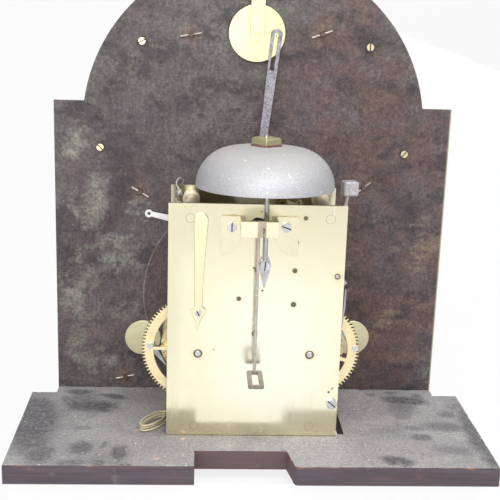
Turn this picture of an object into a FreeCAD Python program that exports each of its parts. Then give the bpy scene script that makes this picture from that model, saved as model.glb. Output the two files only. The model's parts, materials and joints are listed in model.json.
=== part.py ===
import FreeCAD, Part
import math
import os

# Movement of an eight-day longcase clock with its break-arch dial, on its seatboard.
# Everything is drawn with Y from the rear face of the back plate towards the dial, Z from the top of the
# seatboard and X from the dial's centre line. save() moves it so that the origin is under the seatboard.

V = FreeCAD.Vector
os.makedirs("parts", exist_ok=True)

# Driving sizes, in millimetres.
PLATE_W = 124.5
PLATE_H = 173.5
PLATE_T = 3.0
PILLAR_L = 63.0
BOARD_T = 15.0
BOARD_W = 344.0
BOARD_REAR = -48.5
BOARD_EAR = 79.5
DIAL_W = 305.0
DIAL_T = 2.2
DIAL_GAP = 22.8
CENTRE_Z = 79.3
ARCH_R = 131.0
ARCH_DROP = 19.0
ORIGIN_Y = 15.0
FIT = 0.05
GAP = 0.3

FRONT_Y = PLATE_T + PILLAR_L
FACE_Y = FRONT_Y + PLATE_T
DIAL_Y = FACE_Y + DIAL_GAP
DIAL_F = DIAL_Y + DIAL_T
SHOULDER_Z = CENTRE_Z + DIAL_W / 2
ARCH_Z = SHOULDER_Z - ARCH_DROP

# Arbor centres on the plates, as (x, z).
GOING = (-40.2, 63.6)
STRIKE = (40.2, 63.6)
CENTRE = (0.0, CENTRE_Z)
THIRD = (-12.0, 105.2)
ESCAPE = (0.0, 126.7)
PALLET = (0.0, 158.3)
PINW = (27.0, 101.5)
LOCK = (27.0, 126.4)
WARN = (27.2, 146.9)
FLY = (33.1, 164.4)
HAMMER = (57.4, 122.6)
MINUTE = (-9.6, 53.0)
RACK = (48.0, 78.0)
HOOK = (-36.0, 140.0)
LIFT = (-56.0, 56.0)
SILENT = (2.9, 166.0)
ARCH = (0.0, 285.5)
BELL = (6.0, 25.0)

PILLARS = [(-42.0, 8.0), (42.0, 8.0), (-47.0, PLATE_H - 10.5), (50.5, PLATE_H - 9.5)]
DIAL_FEET = [(-54.0, 18.0), (54.0, 18.0), (-56.0, PLATE_H - 15.5), (57.0, PLATE_H - 21.5)]
RING_FEET = [(-87.0, 162.2), (87.0, 169.0), (-98.5, 9.0)]
ARCH_FEET = [(-49.3, 283.0), (49.3, 286.0)]
CORNER_SCREW = 117.5
ARCH_SCREW = (86.0, 277.5)

# Teeth as (wheel, pinion) of each pair in mesh.
GREAT_T = 96
STRIKE_T = 84
CENTRE_T = 60
THIRD_T = 56
ESCAPE_T = 30
PIN_T = 64
LOCK_T = 56
WARN_T = 48
CANNON_T = 40
HOUR_T = 72
LEAVES = 8
LEAVES_7 = 7
LEAVES_6 = 6
RATCHET_T = 36

# Places of the wheels along the arbors.
GREAT_Y = (10.0, 13.0)
RATCHET_Y = (13.3, 15.8)
DRUM_Y = (16.0, 54.0)
CENTRE_Y = (55.6, 57.4)
THIRD_Y = (46.0, 47.6)
ESCAPE_Y = (20.5, 22.0)
ANCHOR_Y = (19.2, 23.4)
PIN_Y = (59.4, 61.2)
LOCK_Y = (35.0, 36.6)
WARN_Y = (50.0, 51.4)
CANNON_Y = (70.0, 72.0)
RACK_Y = (72.4, 74.0)
LIFT_Y = (74.5, 75.7)
SNAIL_Y = (76.2, 77.8)
HOUR_Y = (78.1, 79.7)
LEVER_Y = (85.2, 86.7)
DISC_Y = (88.6, 90.2)

DRUM_R = 25.0
FLANGE_R = 27.0
GREAT_ARBOR_R = 5.0
LINE_D = 1.4
LINE_PITCH = 1.9
LINE_TURNS = 11
LINE_LAST_Y = 29.0
HANK_LOOPS = 3
BELL_R = 49.6
BELL_RIM_Z = PLATE_H + 8.0
BELL_H = 29.0
BELL_TOP_Z = BELL_RIM_Z + BELL_H
BELL_WALL = 2.2
ROD_R = 1.75
COCK_OUT = 21.0
COCK_BAR = 4.0
CRUTCH_Y = -11.0
CRUTCH_Z = 54.0
CRUTCH_W = 10.9
CRUTCH_L = 29.5
CRUTCH_R = 1.05
CRUTCH_BAR = 3.1

# Fastenings: screws, studs, rivets, taper pins and the hooks of the seatboard.
SMALL_SCREW_R = 1.5
DIAL_SCREW_R = 1.4
RIVET_R = 3.2
STUD_R = 2.0
STUD_SEAT_R = 1.8
FOOT_R = 2.2
RING_FOOT_R = 2.0
PIN_R = 0.8
PILLAR_PIN_DEG = 120.0
FOOT_PIN_DEG = 120.0
RING_PIN_DEG = (-30.0, 40.0, 12.0)
ARCH_PIN_DEG = (10.0, 20.0)
FOOT_PIN_Y = FRONT_Y - PIN_R
RING_PIN_Y = DIAL_Y - PIN_R
COCK_SCREWS = [(-18.3, PALLET[1] - 0.3), (19.6, PALLET[1])]
LEAF_SCREW = (-40.5, 94.6)
SPRING_SCREW = (58.0, 26.2)
COIL_SCREW = (-56.0, PLATE_H - 6.0)
HOOK_R = 1.6
HOOK_Y = 34.0
HOOK_BEND = 6.2
HOOK_X = PILLARS[1][0] - HOOK_BEND
NUT_SINK = (7.0, 6.0)
HOOK_LOW = -BOARD_T + 0.5
SPRING_STEADY = (58.0, 37.7)
STEADY_R = 1.0

# Plates, board and dial details.
PILLAR_R = 4.6
PILLAR_END = FACE_Y + 4.2
SLOT_HALF = 8.8
RING_T = 1.8
ARCH_COCK_Y = 82.6
BRIDGE_TOP = FACE_Y + 6.5
BRIDGE_SINK = 1.2
NOTCH_LEFT = -41.2
NOTCH_RIGHT = 24.2
NOTCH_FLARE = 4.0
NOTCH_Y = -24.4
SLOT_Y = (4.0, 62.0)
COCK_Z = (PALLET[1] - 20.6, PALLET[1] + 7.4)
COCK_FOOT_T = 3.0
BELL_FOOT_T = 3.9
LEAF_T = 1.4

# Motion work, hands, striking work and clicks.
PHASE = 0.11
PALLET_PIVOT = 0.9
PIPE_R = 5.0
PIPE_END = 90.5
CANNON_R = 3.0
CANNON_END = 102.5
CENTRE_TIP_R = 1.8
HOUR_PIPE_R = 6.8
HOUR_PIPE_END = 98.9
MINUTE_BORE = 0.75
SECONDS_Y = (96.2, 96.9)
HOUR_HAND_Y = (97.6, 98.9)
MINUTE_HAND_Y = (100.2, 101.5)
SILENT_HAND_Y = (97.0, 98.2)
HOUR_DEG = 305.0
MINUTE_DEG = 60.0
RACK_R = 48.0
RACK_TAIL_L = 47.5
RACK_TAIL_DEG = 147.0
PIN_CIRCLE = 19.2
PEG_R = 15.2
CLICK_R = 34.6
WIND_END = 96.4
CLICK_POST_R = 1.6

# Gut line: coil on the barrel, way down from it and hank on the board.
COIL_R = DRUM_R + LINE_D / 2 + 0.05
HANK_AXIS = math.radians(236.0)
HANK_LONG = 14.2
HANK_WIDE = 5.2
HANK_NECK = (-64.6, 28.0)
HANK_TOP = LINE_D / 2 + 0.05 + LINE_PITCH * HANK_LOOPS
LEAD = [
    V(GOING[0] + COIL_R + GAP, LINE_LAST_Y - LINE_PITCH, GOING[1] - LINE_D - 0.6),
    V(-13.8, 26.6, 47.5),
    V(-14.6, 26.2, 32.5),
    V(-19.5, 25.0, 21.5),
    V(-32.0, 22.6, 18.6),
    V(-44.5, 21.0, 17.0),
    V(-55.0, 21.2, 9.5),
]


def save(name, shape):
    """Move a finished shape to the part's origin and write it as a node."""
    shape = shape.copy()
    shape.translate(V(0, -ORIGIN_Y, BOARD_T))
    if not shape.isValid():
        print("not valid:", name)
    shape.exportStep("parts/" + name + ".step")
    print(name, len(shape.Solids), round(shape.Volume, 1))


def cyl(at, r, y0, y1):
    """Round bar along Y between two heights on the arbor centre at."""
    return Part.makeCylinder(r, y1 - y0, V(at[0], y0, at[1]), V(0, 1, 0))


def block(x0, x1, y0, y1, z0, z1):
    """Rectangular block between two corners."""
    return Part.makeBox(x1 - x0, y1 - y0, z1 - z0, V(x0, y0, z0))


def plate(points, y0, y1):
    """Flat piece with a polygon outline in XZ."""
    loop = [V(x, y0, z) for x, z in points]
    loop.append(loop[0])
    return Part.Face(Part.makePolygon(loop)).extrude(V(0, y1 - y0, 0))


def turned(at, profile):
    """Piece turned about an arbor, from (radius, y) pairs in order of y."""
    loop = [V(at[0], profile[0][1], at[1])]
    loop += [V(at[0] + r, y, at[1]) for r, y in profile]
    loop.append(V(at[0], profile[-1][1], at[1]))
    loop.append(loop[0])
    return Part.Face(Part.makePolygon(loop)).revolve(V(at[0], 0, at[1]), V(0, 1, 0), 360)


def fuse(shapes):
    """One solid from pieces that touch."""
    return shapes[0].fuse(shapes[1:]).removeSplitter()


def polar(at, r, a):
    """Point at a radius and an angle from X towards Z."""
    return (at[0] + r * math.cos(a), at[1] + r * math.sin(a))


def strap(a, b, wa, wb):
    """Four corners of a tapering bar from a to b."""
    t = math.atan2(b[1] - a[1], b[0] - a[0]) + math.pi / 2
    return [polar(a, wa / 2, t), polar(a, -wa / 2, t), polar(b, -wb / 2, t), polar(b, wb / 2, t)]


def tube(points, r, bend):
    """Bent round wire: straight runs joined by tangent arcs of one radius."""
    edges = []
    start = points[0]
    for i in range(1, len(points) - 1):
        here = points[i]
        u = (points[i - 1] - here).normalize()
        w = (points[i + 1] - here).normalize()
        half = u.getAngle(w) / 2
        back = bend / math.tan(half)
        a = here + u * back
        b = here + w * back
        mid = (u + w).normalize()
        m = here + mid * (bend / math.sin(half) - bend)
        edges.append(Part.makeLine(start, a))
        edges.append(Part.Arc(a, m, b).toShape())
        start = b
    edges.append(Part.makeLine(start, points[-1]))
    path = Part.Wire(edges)
    ring = Part.Wire(Part.makeCircle(r, points[0], points[1] - points[0]))
    return path.makePipeShell([ring], True, False)


def module(a, b, na, nb):
    """Tooth size that fits two wheels on their arbor centres."""
    return 2 * math.dist(a, b) / (na + nb)


def teeth(at, n, m, phase, add, ded, tip, root):
    """Outline of a toothed wheel; tip and root are half widths as shares of the pitch."""
    pitch = 2 * math.pi / n
    r = m * n / 2
    out = []
    for i in range(n):
        a = phase + i * pitch
        out.append(polar(at, r - ded * m, a - root * pitch))
        out.append(polar(at, r + add * m, a - tip * pitch))
        out.append(polar(at, r + add * m, a + tip * pitch))
        out.append(polar(at, r - ded * m, a + root * pitch))
    return out


def in_mesh(at, n, phase, other, n_other):
    """Angle of a tooth of the other wheel that puts its gap on a tooth of this one."""
    line = math.atan2(other[1] - at[1], other[0] - at[0])
    turn = (phase - line) * n / (2 * math.pi)
    return line + math.pi + (0.5 - turn) * 2 * math.pi / n_other


def window(at, r0, r1, a0, a1):
    """Edge loop of one opening between two arms of a crossed-out wheel."""
    am = (a0[0] + a0[1]) / 2
    bm = (a1[0] + a1[1]) / 2

    def p(r, a):
        x, z = polar(at, r, a)
        return V(x, 0, z)

    inner = Part.Arc(p(r0, a0[0]), p(r0, am), p(r0, a0[1])).toShape()
    outer = Part.Arc(p(r1, a1[0]), p(r1, bm), p(r1, a1[1])).toShape()
    side = Part.makeLine(p(r1, a1[0]), p(r0, a0[0]))
    other = Part.makeLine(p(r0, a0[1]), p(r1, a1[1]))
    return Part.Face(Part.Wire([inner, other, outer, side]))


def crossed(at, n, m, phase, y, arms, rim, hub, bore, arm=3.0, first=None):
    """Brass wheel with crossed-out arms between its hub and its rim, the first arm where first says."""
    start = phase if first is None else first
    body = plate(teeth(at, n, m, phase, 1.0, 1.5, 0.09, 0.24), y[0], y[1])
    r1 = m * n / 2 - 1.5 * m - rim
    cuts = []
    for k in range(arms):
        lo = start + k * 2 * math.pi / arms
        hi = lo + 2 * math.pi / arms
        inner = (lo + arm / 2 / hub, hi - arm / 2 / hub)
        outer = (lo + arm / 2 / r1, hi - arm / 2 / r1)
        hole = window(at, hub, r1, inner, outer).extrude(V(0, y[1] - y[0] + 2, 0))
        hole.translate(V(0, y[0] - 1, 0))
        cuts.append(hole)
    cuts.append(cyl(at, bore, y[0] - 1, y[1] + 1))
    return body.cut(cuts)


def pinion(at, n, m, phase, y0, y1):
    """Leaves of a steel pinion."""
    return plate(teeth(at, n, m, phase, 0.45, 1.75, 0.08, 0.17), y0, y1)


def spline_arc(a, t, b):
    """Arc that leaves a along the unit vector t and ends at b, or a line where they are in line."""
    c = b - a
    n = c - t * c.dot(t)
    if n.Length < 1e-7:
        return Part.makeLine(a, b)
    n.normalize()
    r = c.dot(c) / (2 * n.dot(c))
    o = a + n * r
    m = ((a - o) + (b - o)).normalize() * r + o
    return Part.Arc(a, m, b).toShape()


def biarcs(points, tangents):
    """Smooth chain of two arcs between each pair of points with given directions."""
    edges = []
    for i in range(len(points) - 1):
        p0, p1 = points[i], points[i + 1]
        t0, t1 = tangents[i], tangents[i + 1]
        v = p1 - p0
        t = t0 + t1
        k = 2 * (1 - t0.dot(t1))
        if k < 1e-9:
            d = v.Length / 2
        else:
            d = (-v.dot(t) + math.sqrt(v.dot(t) ** 2 + k * v.dot(v))) / k
        mid = (p0 + t0 * d + p1 - t1 * d) * 0.5
        edges.append(spline_arc(p0, t0, mid))
        out = (p1 - t1 * d - mid).normalize()
        edges.append(spline_arc(mid, out, p1))
    return edges


def wire_tube(edges, r):
    """Round line swept along a chain of edges."""
    path = Part.Wire(edges)
    first = edges[0]
    start = first.valueAt(first.FirstParameter)
    along = first.tangentAt(first.FirstParameter)
    ring = Part.Wire(Part.makeCircle(r, start, along))
    return path.makePipeShell([ring], True, False)


def self_gap(edges, r, skip):
    """Least gap of a line to itself, on points along it."""
    pts = []
    for e in edges:
        n = max(2, int(e.Length / 1.0))
        for i in range(n):
            f = e.FirstParameter + (e.LastParameter - e.FirstParameter) * i / n
            pts.append(e.valueAt(f))
    run = [0.0]
    for i in range(1, len(pts)):
        run.append(run[-1] + (pts[i] - pts[i - 1]).Length)
    least = 1e9
    for i in range(len(pts)):
        for j in range(i + 1, len(pts)):
            if run[j] - run[i] > skip:
                least = min(least, (pts[i] - pts[j]).Length)
    return least - 2 * r


def screw(at, y_seat, y_end, head_r, head_h, shank_r, slot, out=-1.0):
    """Cheese-head screw whose head sits on y_seat, out of the plate on the side out."""
    head = sorted((y_seat, y_seat + out * head_h))
    body = sorted((y_seat, y_end))
    top = sorted((y_seat + out * head_h * 0.6, y_seat + out * (head_h + 1)))
    bar = block(-head_r - 1, head_r + 1, top[0], top[1], -0.4, 0.4)
    bar.rotate(V(0, 0, 0), V(0, 1, 0), slot)
    bar.translate(V(at[0], 0, at[1]))
    shank = cyl(at, shank_r, body[0], body[1])
    return fuse([cyl(at, head_r, head[0], head[1]).cut(bar), shank])


# Screws and studs that go through more than one piece.
FOOT_SCREW = (BELL[0] - 0.5, 130.7)
BRIDGE_TURN = math.radians(-25)
BRIDGE_SCREWS = [polar(CENTRE, 20.5, BRIDGE_TURN), polar(CENTRE, 20.5, BRIDGE_TURN + math.pi)]
ARCH_COCK_SCREW = (ARCH[0], ARCH[1] + 31.0)
STUDS = [RACK, HOOK, LIFT, MINUTE, SILENT]
SIGNS = [(sx, sz) for sx in (-1, 1) for sz in (-1, 1)]
SPANDREL_SCREWS = [(sx * CORNER_SCREW, CENTRE_Z + sz * CORNER_SCREW) for sx, sz in SIGNS]
SPANDREL_SCREWS += [(-ARCH_SCREW[0], ARCH_SCREW[1]), ARCH_SCREW]

# Pivot radius of each arbor in the back plate and in the front plate.
PIVOTS = {
    GOING: (2.4, 4.0),
    STRIKE: (2.4, 4.0),
    CENTRE: (1.2, 2.2),
    THIRD: (0.9, 0.9),
    ESCAPE: (0.8, 1.1),
    PINW: (1.1, 1.1),
    LOCK: (0.9, 1.5),
    WARN: (0.9, 0.9),
    FLY: (0.8, 0.8),
    HAMMER: (1.4, 1.4),
}


def slot_cut(x):
    """Slot in the board under the place where a line leaves its barrel."""
    return block(x - SLOT_HALF, x + SLOT_HALF - 5.0, SLOT_Y[0], SLOT_Y[1], -BOARD_T - 1, 1)


def seatboard():
    """Wooden board with ears, a tongue up to the dial, a pendulum notch and two line slots."""
    half = BOARD_W / 2
    tongue = DIAL_W / 2
    outline = [(-half, BOARD_REAR), (NOTCH_LEFT, BOARD_REAR), (NOTCH_LEFT, NOTCH_Y), (NOTCH_RIGHT, NOTCH_Y)]
    outline += [(NOTCH_RIGHT + NOTCH_FLARE, BOARD_REAR)]
    outline += [(half, BOARD_REAR), (half, BOARD_EAR), (tongue, BOARD_EAR), (tongue, DIAL_Y)]
    outline += [(-tongue, DIAL_Y), (-tongue, BOARD_EAR), (-half, BOARD_EAR)]
    loop = [V(x, y, -BOARD_T) for x, y in outline]
    loop.append(loop[0])
    board = Part.Face(Part.makePolygon(loop)).extrude(V(0, 0, BOARD_T))
    cuts = [slot_cut(STRIKE[0] + DRUM_R), slot_cut(GOING[0] + DRUM_R)]
    for x in (-HOOK_X, HOOK_X):
        cuts.append(Part.makeCylinder(HOOK_R, BOARD_T + 2, V(x, HOOK_Y, -BOARD_T - 1)))
        cuts.append(Part.makeCylinder(NUT_SINK[0], NUT_SINK[1] + 1, V(x, HOOK_Y, -BOARD_T - 1)))
    return board.cut(cuts)


def seat_hooks():
    """Two steel hooks over the bottom pillars, with a square nut on each, sunk in the board's underside."""
    pieces = []
    for s in (-1, 1):
        x = s * HOOK_X
        far = s * (HOOK_X + 2 * HOOK_BEND)
        top = PILLARS[0][1] + HOOK_BEND
        z = PILLARS[0][1]
        run = [Part.makeLine(V(x, HOOK_Y, HOOK_LOW), V(x, HOOK_Y, z))]
        run.append(Part.Arc(V(x, HOOK_Y, z), V((x + far) / 2, HOOK_Y, top), V(far, HOOK_Y, z)).toShape())
        run.append(Part.makeLine(V(far, HOOK_Y, z), V(far, HOOK_Y, z - 3)))
        bar = wire_tube(run, HOOK_R)
        seat = -BOARD_T + NUT_SINK[1]
        nut = block(x - 4.5, x + 4.5, HOOK_Y - 4.5, HOOK_Y + 4.5, seat - 4.5, seat)
        pieces.append(bar.fuse(nut).removeSplitter())
    return Part.makeCompound(pieces)


def back_plate():
    """Rear brass plate with its pivot holes, oil sinks and the large hole for the pallets."""
    half = PLATE_W / 2
    body = block(-half, half, 0, PLATE_T, 0, PLATE_H)
    cuts = [cyl(p, RIVET_R, -1, PLATE_T + 1) for p in PILLARS]
    for at, r in PIVOTS.items():
        cuts.append(cyl(at, r[0] + FIT, -1, PLATE_T + 1))
    for at in (GOING, STRIKE):
        cuts.append(cyl(at, 3.1, -1, 0.5))
    cuts.append(cyl(PALLET, 6.0, -1, PLATE_T + 1))
    cuts += [cyl(p, SMALL_SCREW_R, -1, PLATE_T + 1) for p in COCK_SCREWS + [FOOT_SCREW, LEAF_SCREW]]
    cuts.append(cyl(SPRING_SCREW, SMALL_SCREW_R, -1, PLATE_T + 1))
    cuts.append(cyl(SPRING_STEADY, STEADY_R, -1, PLATE_T + 1))
    return body.cut(cuts)


def front_plate():
    """Front brass plate with its pivot holes and the holes of studs, dial feet and pillars."""
    half = PLATE_W / 2
    body = block(-half, half, FRONT_Y, FACE_Y, 0, PLATE_H)
    lo, hi = FRONT_Y - 1, FACE_Y + 1
    cuts = [cyl(p, RIVET_R, lo, hi) for p in PILLARS]
    for at, r in PIVOTS.items():
        cuts.append(cyl(at, r[1] + FIT, lo, hi))
    cuts.append(cyl(PALLET, PALLET_PIVOT + FIT, lo, hi))
    cuts += [cyl(p, FOOT_R, lo, hi) for p in DIAL_FEET]
    cuts += [cyl(p, STUD_SEAT_R, lo, hi) for p in STUDS]
    cuts += [cyl(p, SMALL_SCREW_R, lo, hi) for p in BRIDGE_SCREWS + [COIL_SCREW]]
    return body.cut(cuts)


def pillars():
    """Four turned pillars, riveted in the back plate and pinned in front of the front plate."""
    out = []
    for p in PILLARS:
        prof = [(RIVET_R, 0), (RIVET_R, PLATE_T), (6.5, PLATE_T), (6.5, 5.4), (4.4, 7.0), (3.6, 12.0)]
        prof += [(PILLAR_R, 27.0), (PILLAR_R, 42.0), (3.6, 57.0), (4.4, 62.0), (6.5, 63.6), (6.5, FRONT_Y)]
        prof += [(RIVET_R, FRONT_Y), (RIVET_R, PILLAR_END - 0.8), (2.4, PILLAR_END)]
        bar = turned(p, prof)
        out.append(bar.cut(pin(p, FACE_Y + PIN_R, PILLAR_PIN_DEG, 7.0, 0)))
    return Part.makeCompound(out)


def pin(at, y, deg, reach, taper=0.2):
    """Taper pin lying across a post, its middle on the post's axis."""
    a = math.radians(deg)
    d = V(math.cos(a), 0, math.sin(a))
    start = V(at[0], y, at[1]) - d * reach
    if taper == 0:
        return Part.makeCylinder(PIN_R, 2 * reach, start, d)
    return Part.makeCone(PIN_R, PIN_R - taper, 2 * reach, start, d)


def all_pins():
    """Every taper pin of the movement and the dial."""
    out = [pin(p, FACE_Y + PIN_R, PILLAR_PIN_DEG, 6.5) for p in PILLARS]
    out += [pin(p, FOOT_PIN_Y, FOOT_PIN_DEG, 5.5) for p in DIAL_FEET]
    out += [pin(p, RING_PIN_Y, a, 7.5) for p, a in zip(RING_FEET, RING_PIN_DEG)]
    out += [pin(p, RING_PIN_Y, a, 8.0) for p, a in zip(ARCH_FEET, ARCH_PIN_DEG)]
    return Part.makeCompound(out)


def back_cock():
    """Brass pallet cock: two feet with quarter-round lower ends, two walls and a slotted bar."""
    z0, z1 = COCK_Z
    t = COCK_FOOT_T
    pieces = []
    for s, x_in, x_out in ((-1, 11.6, 26.0), (1, 11.6, 28.0)):
        bend = x_out - x_in
        a = V(s * x_in, -t, z0 + 14)
        m = V(s * (x_in + bend * 0.2929), -t, z0 + 14 * 0.2929)
        b = V(s * x_out, -t, z0)
        c = V(s * x_out, -t, z1)
        d = V(s * x_in, -t, z1)
        edge = [Part.Arc(a, m, b).toShape(), Part.makeLine(b, c), Part.makeLine(c, d), Part.makeLine(d, a)]
        pieces.append(Part.Face(Part.Wire(edge)).extrude(V(0, t, 0)))
        w = sorted((s * 9.2, s * 12.8))
        pieces.append(block(w[0], w[1], -COCK_OUT + COCK_BAR, 0, 154.9, z1))
    bar = block(-12.8, 12.8, -COCK_OUT, -COCK_OUT + COCK_BAR, 154.9, 165.9)
    pieces.append(bar)
    body = fuse(pieces)
    cuts = [cyl(p, SMALL_SCREW_R, -10, 1) for p in COCK_SCREWS]
    cuts.append(cyl(PALLET, PALLET_PIVOT + FIT, -COCK_OUT + 1.2, 0))
    cuts.append(block(-1.4, 4.3, -COCK_OUT - 1, -COCK_OUT + 1.0, 150, 170))
    cuts.append(block(2.2, 3.6, -COCK_OUT - 1, -COCK_OUT + COCK_BAR + 1, 150, 161.5))
    return body.cut(cuts)


def plate_screws():
    """Steel screws on the plates: cock, bell stand, leaf spring, hammer spring, bridge, arch cock."""
    out = [screw(COCK_SCREWS[0], -COCK_FOOT_T, PLATE_T, 3.4, 2.2, SMALL_SCREW_R, 90)]
    out.append(screw(COCK_SCREWS[1], -COCK_FOOT_T, PLATE_T, 3.4, 2.2, SMALL_SCREW_R, 20))
    out.append(screw(FOOT_SCREW, -BELL_FOOT_T, PLATE_T, 3.4, 2.0, SMALL_SCREW_R, 95))
    out.append(screw(LEAF_SCREW, -LEAF_T, PLATE_T, 2.2, 1.5, SMALL_SCREW_R, 60))
    out.append(screw(SPRING_SCREW, 0.0, 5.2, 3.8, 2.2, SMALL_SCREW_R, 40))
    for p in BRIDGE_SCREWS:
        seat = BRIDGE_TOP - BRIDGE_SINK
        out.append(screw(p, seat, FRONT_Y, 3.0, BRIDGE_SINK, SMALL_SCREW_R, 30, 1.0))
    out.append(screw(ARCH_COCK_SCREW, ARCH_COCK_Y, DIAL_F, 2.6, 1.8, SMALL_SCREW_R, 15))
    return Part.makeCompound(out)


def bell_stand():
    """Steel stand with a leaf-shaped foot on the back plate, a bent rod and a collar under the bell."""
    x = FOOT_SCREW[0]
    z = FOOT_SCREW[1]
    half = [(0.0, 6.6), (1.7, 6.2), (3.0, 4.4), (4.0, 2.0), (4.3, -0.5), (3.6, -4.0), (2.3, -9.0)]
    half.append((0.9, -15.0))
    leaf = [(x + a, z + b) for a, b in half] + [(x, z - 17.6)]
    leaf += [(x - a, z + b) for a, b in reversed(half[1:])]
    foot = plate(leaf, -2.0, 0)
    boss = cyl((x, z), 3.7, -BELL_FOOT_T, 0)
    rod_y = -2.2
    bend = (PLATE_H + 9.5, PLATE_H + 21.5)
    pts = [V(x, rod_y, z + 3.7), V(x, rod_y, bend[0])]
    pts += [V(x, BELL[1], bend[1]), V(x, BELL[1], BELL_TOP_Z + 8.0)]
    rod = tube(pts, ROD_R, 9.0)
    collar = Part.makeCylinder(6.0, 2.5, V(x, BELL[1], BELL_TOP_Z - BELL_WALL - 2.5))
    body = fuse([foot, boss, rod, collar])
    clear = block(x - 8, x + 8, 0, 4, z - 20, PLATE_H - 1.5)
    return body.cut([cyl((x, z), SMALL_SCREW_R, -5, 1), clear])


def bell():
    """Shallow flat-topped bell, turned about the upright end of its stand."""
    x, y = FOOT_SCREW[0], BELL[1]
    r, lo, hi, w = BELL_R, BELL_RIM_Z, BELL_TOP_Z, BELL_WALL
    h = hi - lo

    def side(off, low, top):
        a = V(x + r - off, y, low)
        m = V(x + r * 0.93 - off, y, lo + h * 0.47 - off * 0.35)
        b = V(x + r * 0.60 - off * 0.4, y, hi - h * 0.07 - off)
        c = V(x + r * 0.44, y, hi - h * 0.018 - off)
        d = V(x + r * 0.26, y, hi - off)
        return a, Part.Arc(a, m, b).toShape(), Part.Arc(b, c, d).toShape(), d

    a0, s0, t0, d0 = side(0, lo, hi)
    a1, s1, t1, d1 = side(w, lo, hi)
    e0 = V(x + ROD_R, y, hi)
    e1 = V(x + ROD_R, y, hi - w)
    edges = [s0, t0, Part.makeLine(d0, e0), Part.makeLine(e0, e1), Part.makeLine(e1, d1), t1, s1]
    edges.append(Part.makeLine(a1, a0))
    face = Part.Face(Part.Wire(Part.__sortEdges__(edges)))
    return face.revolve(V(x, y, 0), V(0, 0, 1), 360)


def bell_washer():
    """Ragged leather washer under the bell nut."""
    x, y = FOOT_SCREW[0], BELL[1]
    n = 28
    loop = []
    for i in range(n):
        a = 2 * math.pi * i / n
        r = 9.6 + 0.5 * math.sin(5 * a) + 0.35 * math.cos(9 * a + 1)
        loop.append(V(x + r * math.cos(a), y + r * math.sin(a), BELL_TOP_Z))
    loop.append(loop[0])
    body = Part.Face(Part.makePolygon(loop)).extrude(V(0, 0, 1.4))
    return body.cut(Part.makeCylinder(ROD_R, 4, V(x, y, BELL_TOP_Z - 1)))


def bell_nut():
    """Square brass nut with a bevelled top, standing corner-on."""
    x, y = FOOT_SCREW[0], BELL[1]
    z = BELL_TOP_Z + 1.4
    side = 15.0
    body = Part.makeBox(side, side, 5.0, V(-side / 2, -side / 2, 0))
    top = [e for e in body.Edges if e.BoundBox.ZMin > 4.9]
    body = body.makeChamfer(1.2, top)
    body.rotate(V(0, 0, 0), V(0, 0, 1), 41)
    body.translate(V(x, y, z))
    return body.cut(Part.makeCylinder(ROD_R, 12, V(x, y, z - 2)))


def leaf_spring():
    """Brass leaf on the back plate: round top, tapering blade, shouldered foot and a pointed tip."""
    top = (-39.6, 162.0)
    pts = [polar(top, 5.1, math.radians(a)) for a in range(-10, 191, 20)]
    pts += [(-43.6, 112.0), (-43.2, 99.5), (-46.0, 97.2), (-45.2, 93.5), (-42.6, 88.0), (-41.0, 81.0)]
    pts += [(-39.2, 88.0), (-36.2, 93.5), (-35.2, 97.2), (-37.6, 99.5), (-37.6, 112.0)]
    return plate(pts, -LEAF_T, 0).cut(cyl(LEAF_SCREW, SMALL_SCREW_R, -3, 1))


def hammer_spring():
    """Steel blade spring on the inner face of the back plate, standing beside the hammer's tail."""
    foot = plate([(53.0, 20.0), (61.5, 20.0), (62.0, 42.0), (56.0, 42.0)], PLATE_T, PLATE_T + 2.2)
    edge = [(57.5, 38.0), (61.6, 38.0), (61.9, 62.0), (63.0, 82.0), (64.6, 98.0), (64.9, 112.0)]
    edge += [(63.7, 112.0), (63.3, 98.0), (61.5, 82.0), (60.0, 62.0)]
    blade = plate(edge, PLATE_T, PLATE_T + 6.0)
    steady = cyl(SPRING_STEADY, STEADY_R, 0.6, PLATE_T + 1)
    return fuse([foot, blade, steady]).cut(cyl(SPRING_SCREW, SMALL_SCREW_R, 0, 20))


def arch_outline(y):
    """Edge of the break-arch dial plate."""
    half = DIAL_W / 2
    spring = math.sqrt(ARCH_R ** 2 - ARCH_DROP ** 2)
    low = CENTRE_Z - half
    corner = [V(-spring, y, SHOULDER_Z), V(-half, y, SHOULDER_Z), V(-half, y, low)]
    corner += [V(half, y, low), V(half, y, SHOULDER_Z), V(spring, y, SHOULDER_Z)]
    edges = [Part.makeLine(corner[i], corner[i + 1]) for i in range(5)]
    edges.append(Part.Arc(corner[5], V(0, y, ARCH_Z + ARCH_R), corner[0]).toShape())
    return Part.Wire(edges)


def dial_plate():
    """Brass break-arch dial plate with its winding holes and other holes."""
    body = Part.Face(arch_outline(DIAL_Y)).extrude(V(0, DIAL_T, 0))
    lo, hi = DIAL_Y - 1, DIAL_F + 1
    cuts = [cyl(at, r, lo, hi) for at, r in ((GOING, 6.5), (STRIKE, 6.5), (CENTRE, 8.0), (ESCAPE, 2.2))]
    cuts.append(cyl(ARCH, 2.5 + FIT, lo, hi))
    cuts.append(cyl(ARCH_COCK_SCREW, SMALL_SCREW_R, lo, hi))
    cuts += [cyl(p, RING_FOOT_R, lo, hi) for p in RING_FEET + ARCH_FEET]
    cuts += [cyl(p, DIAL_SCREW_R, lo, hi) for p in SPANDREL_SCREWS]
    return body.cut(cuts)


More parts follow.
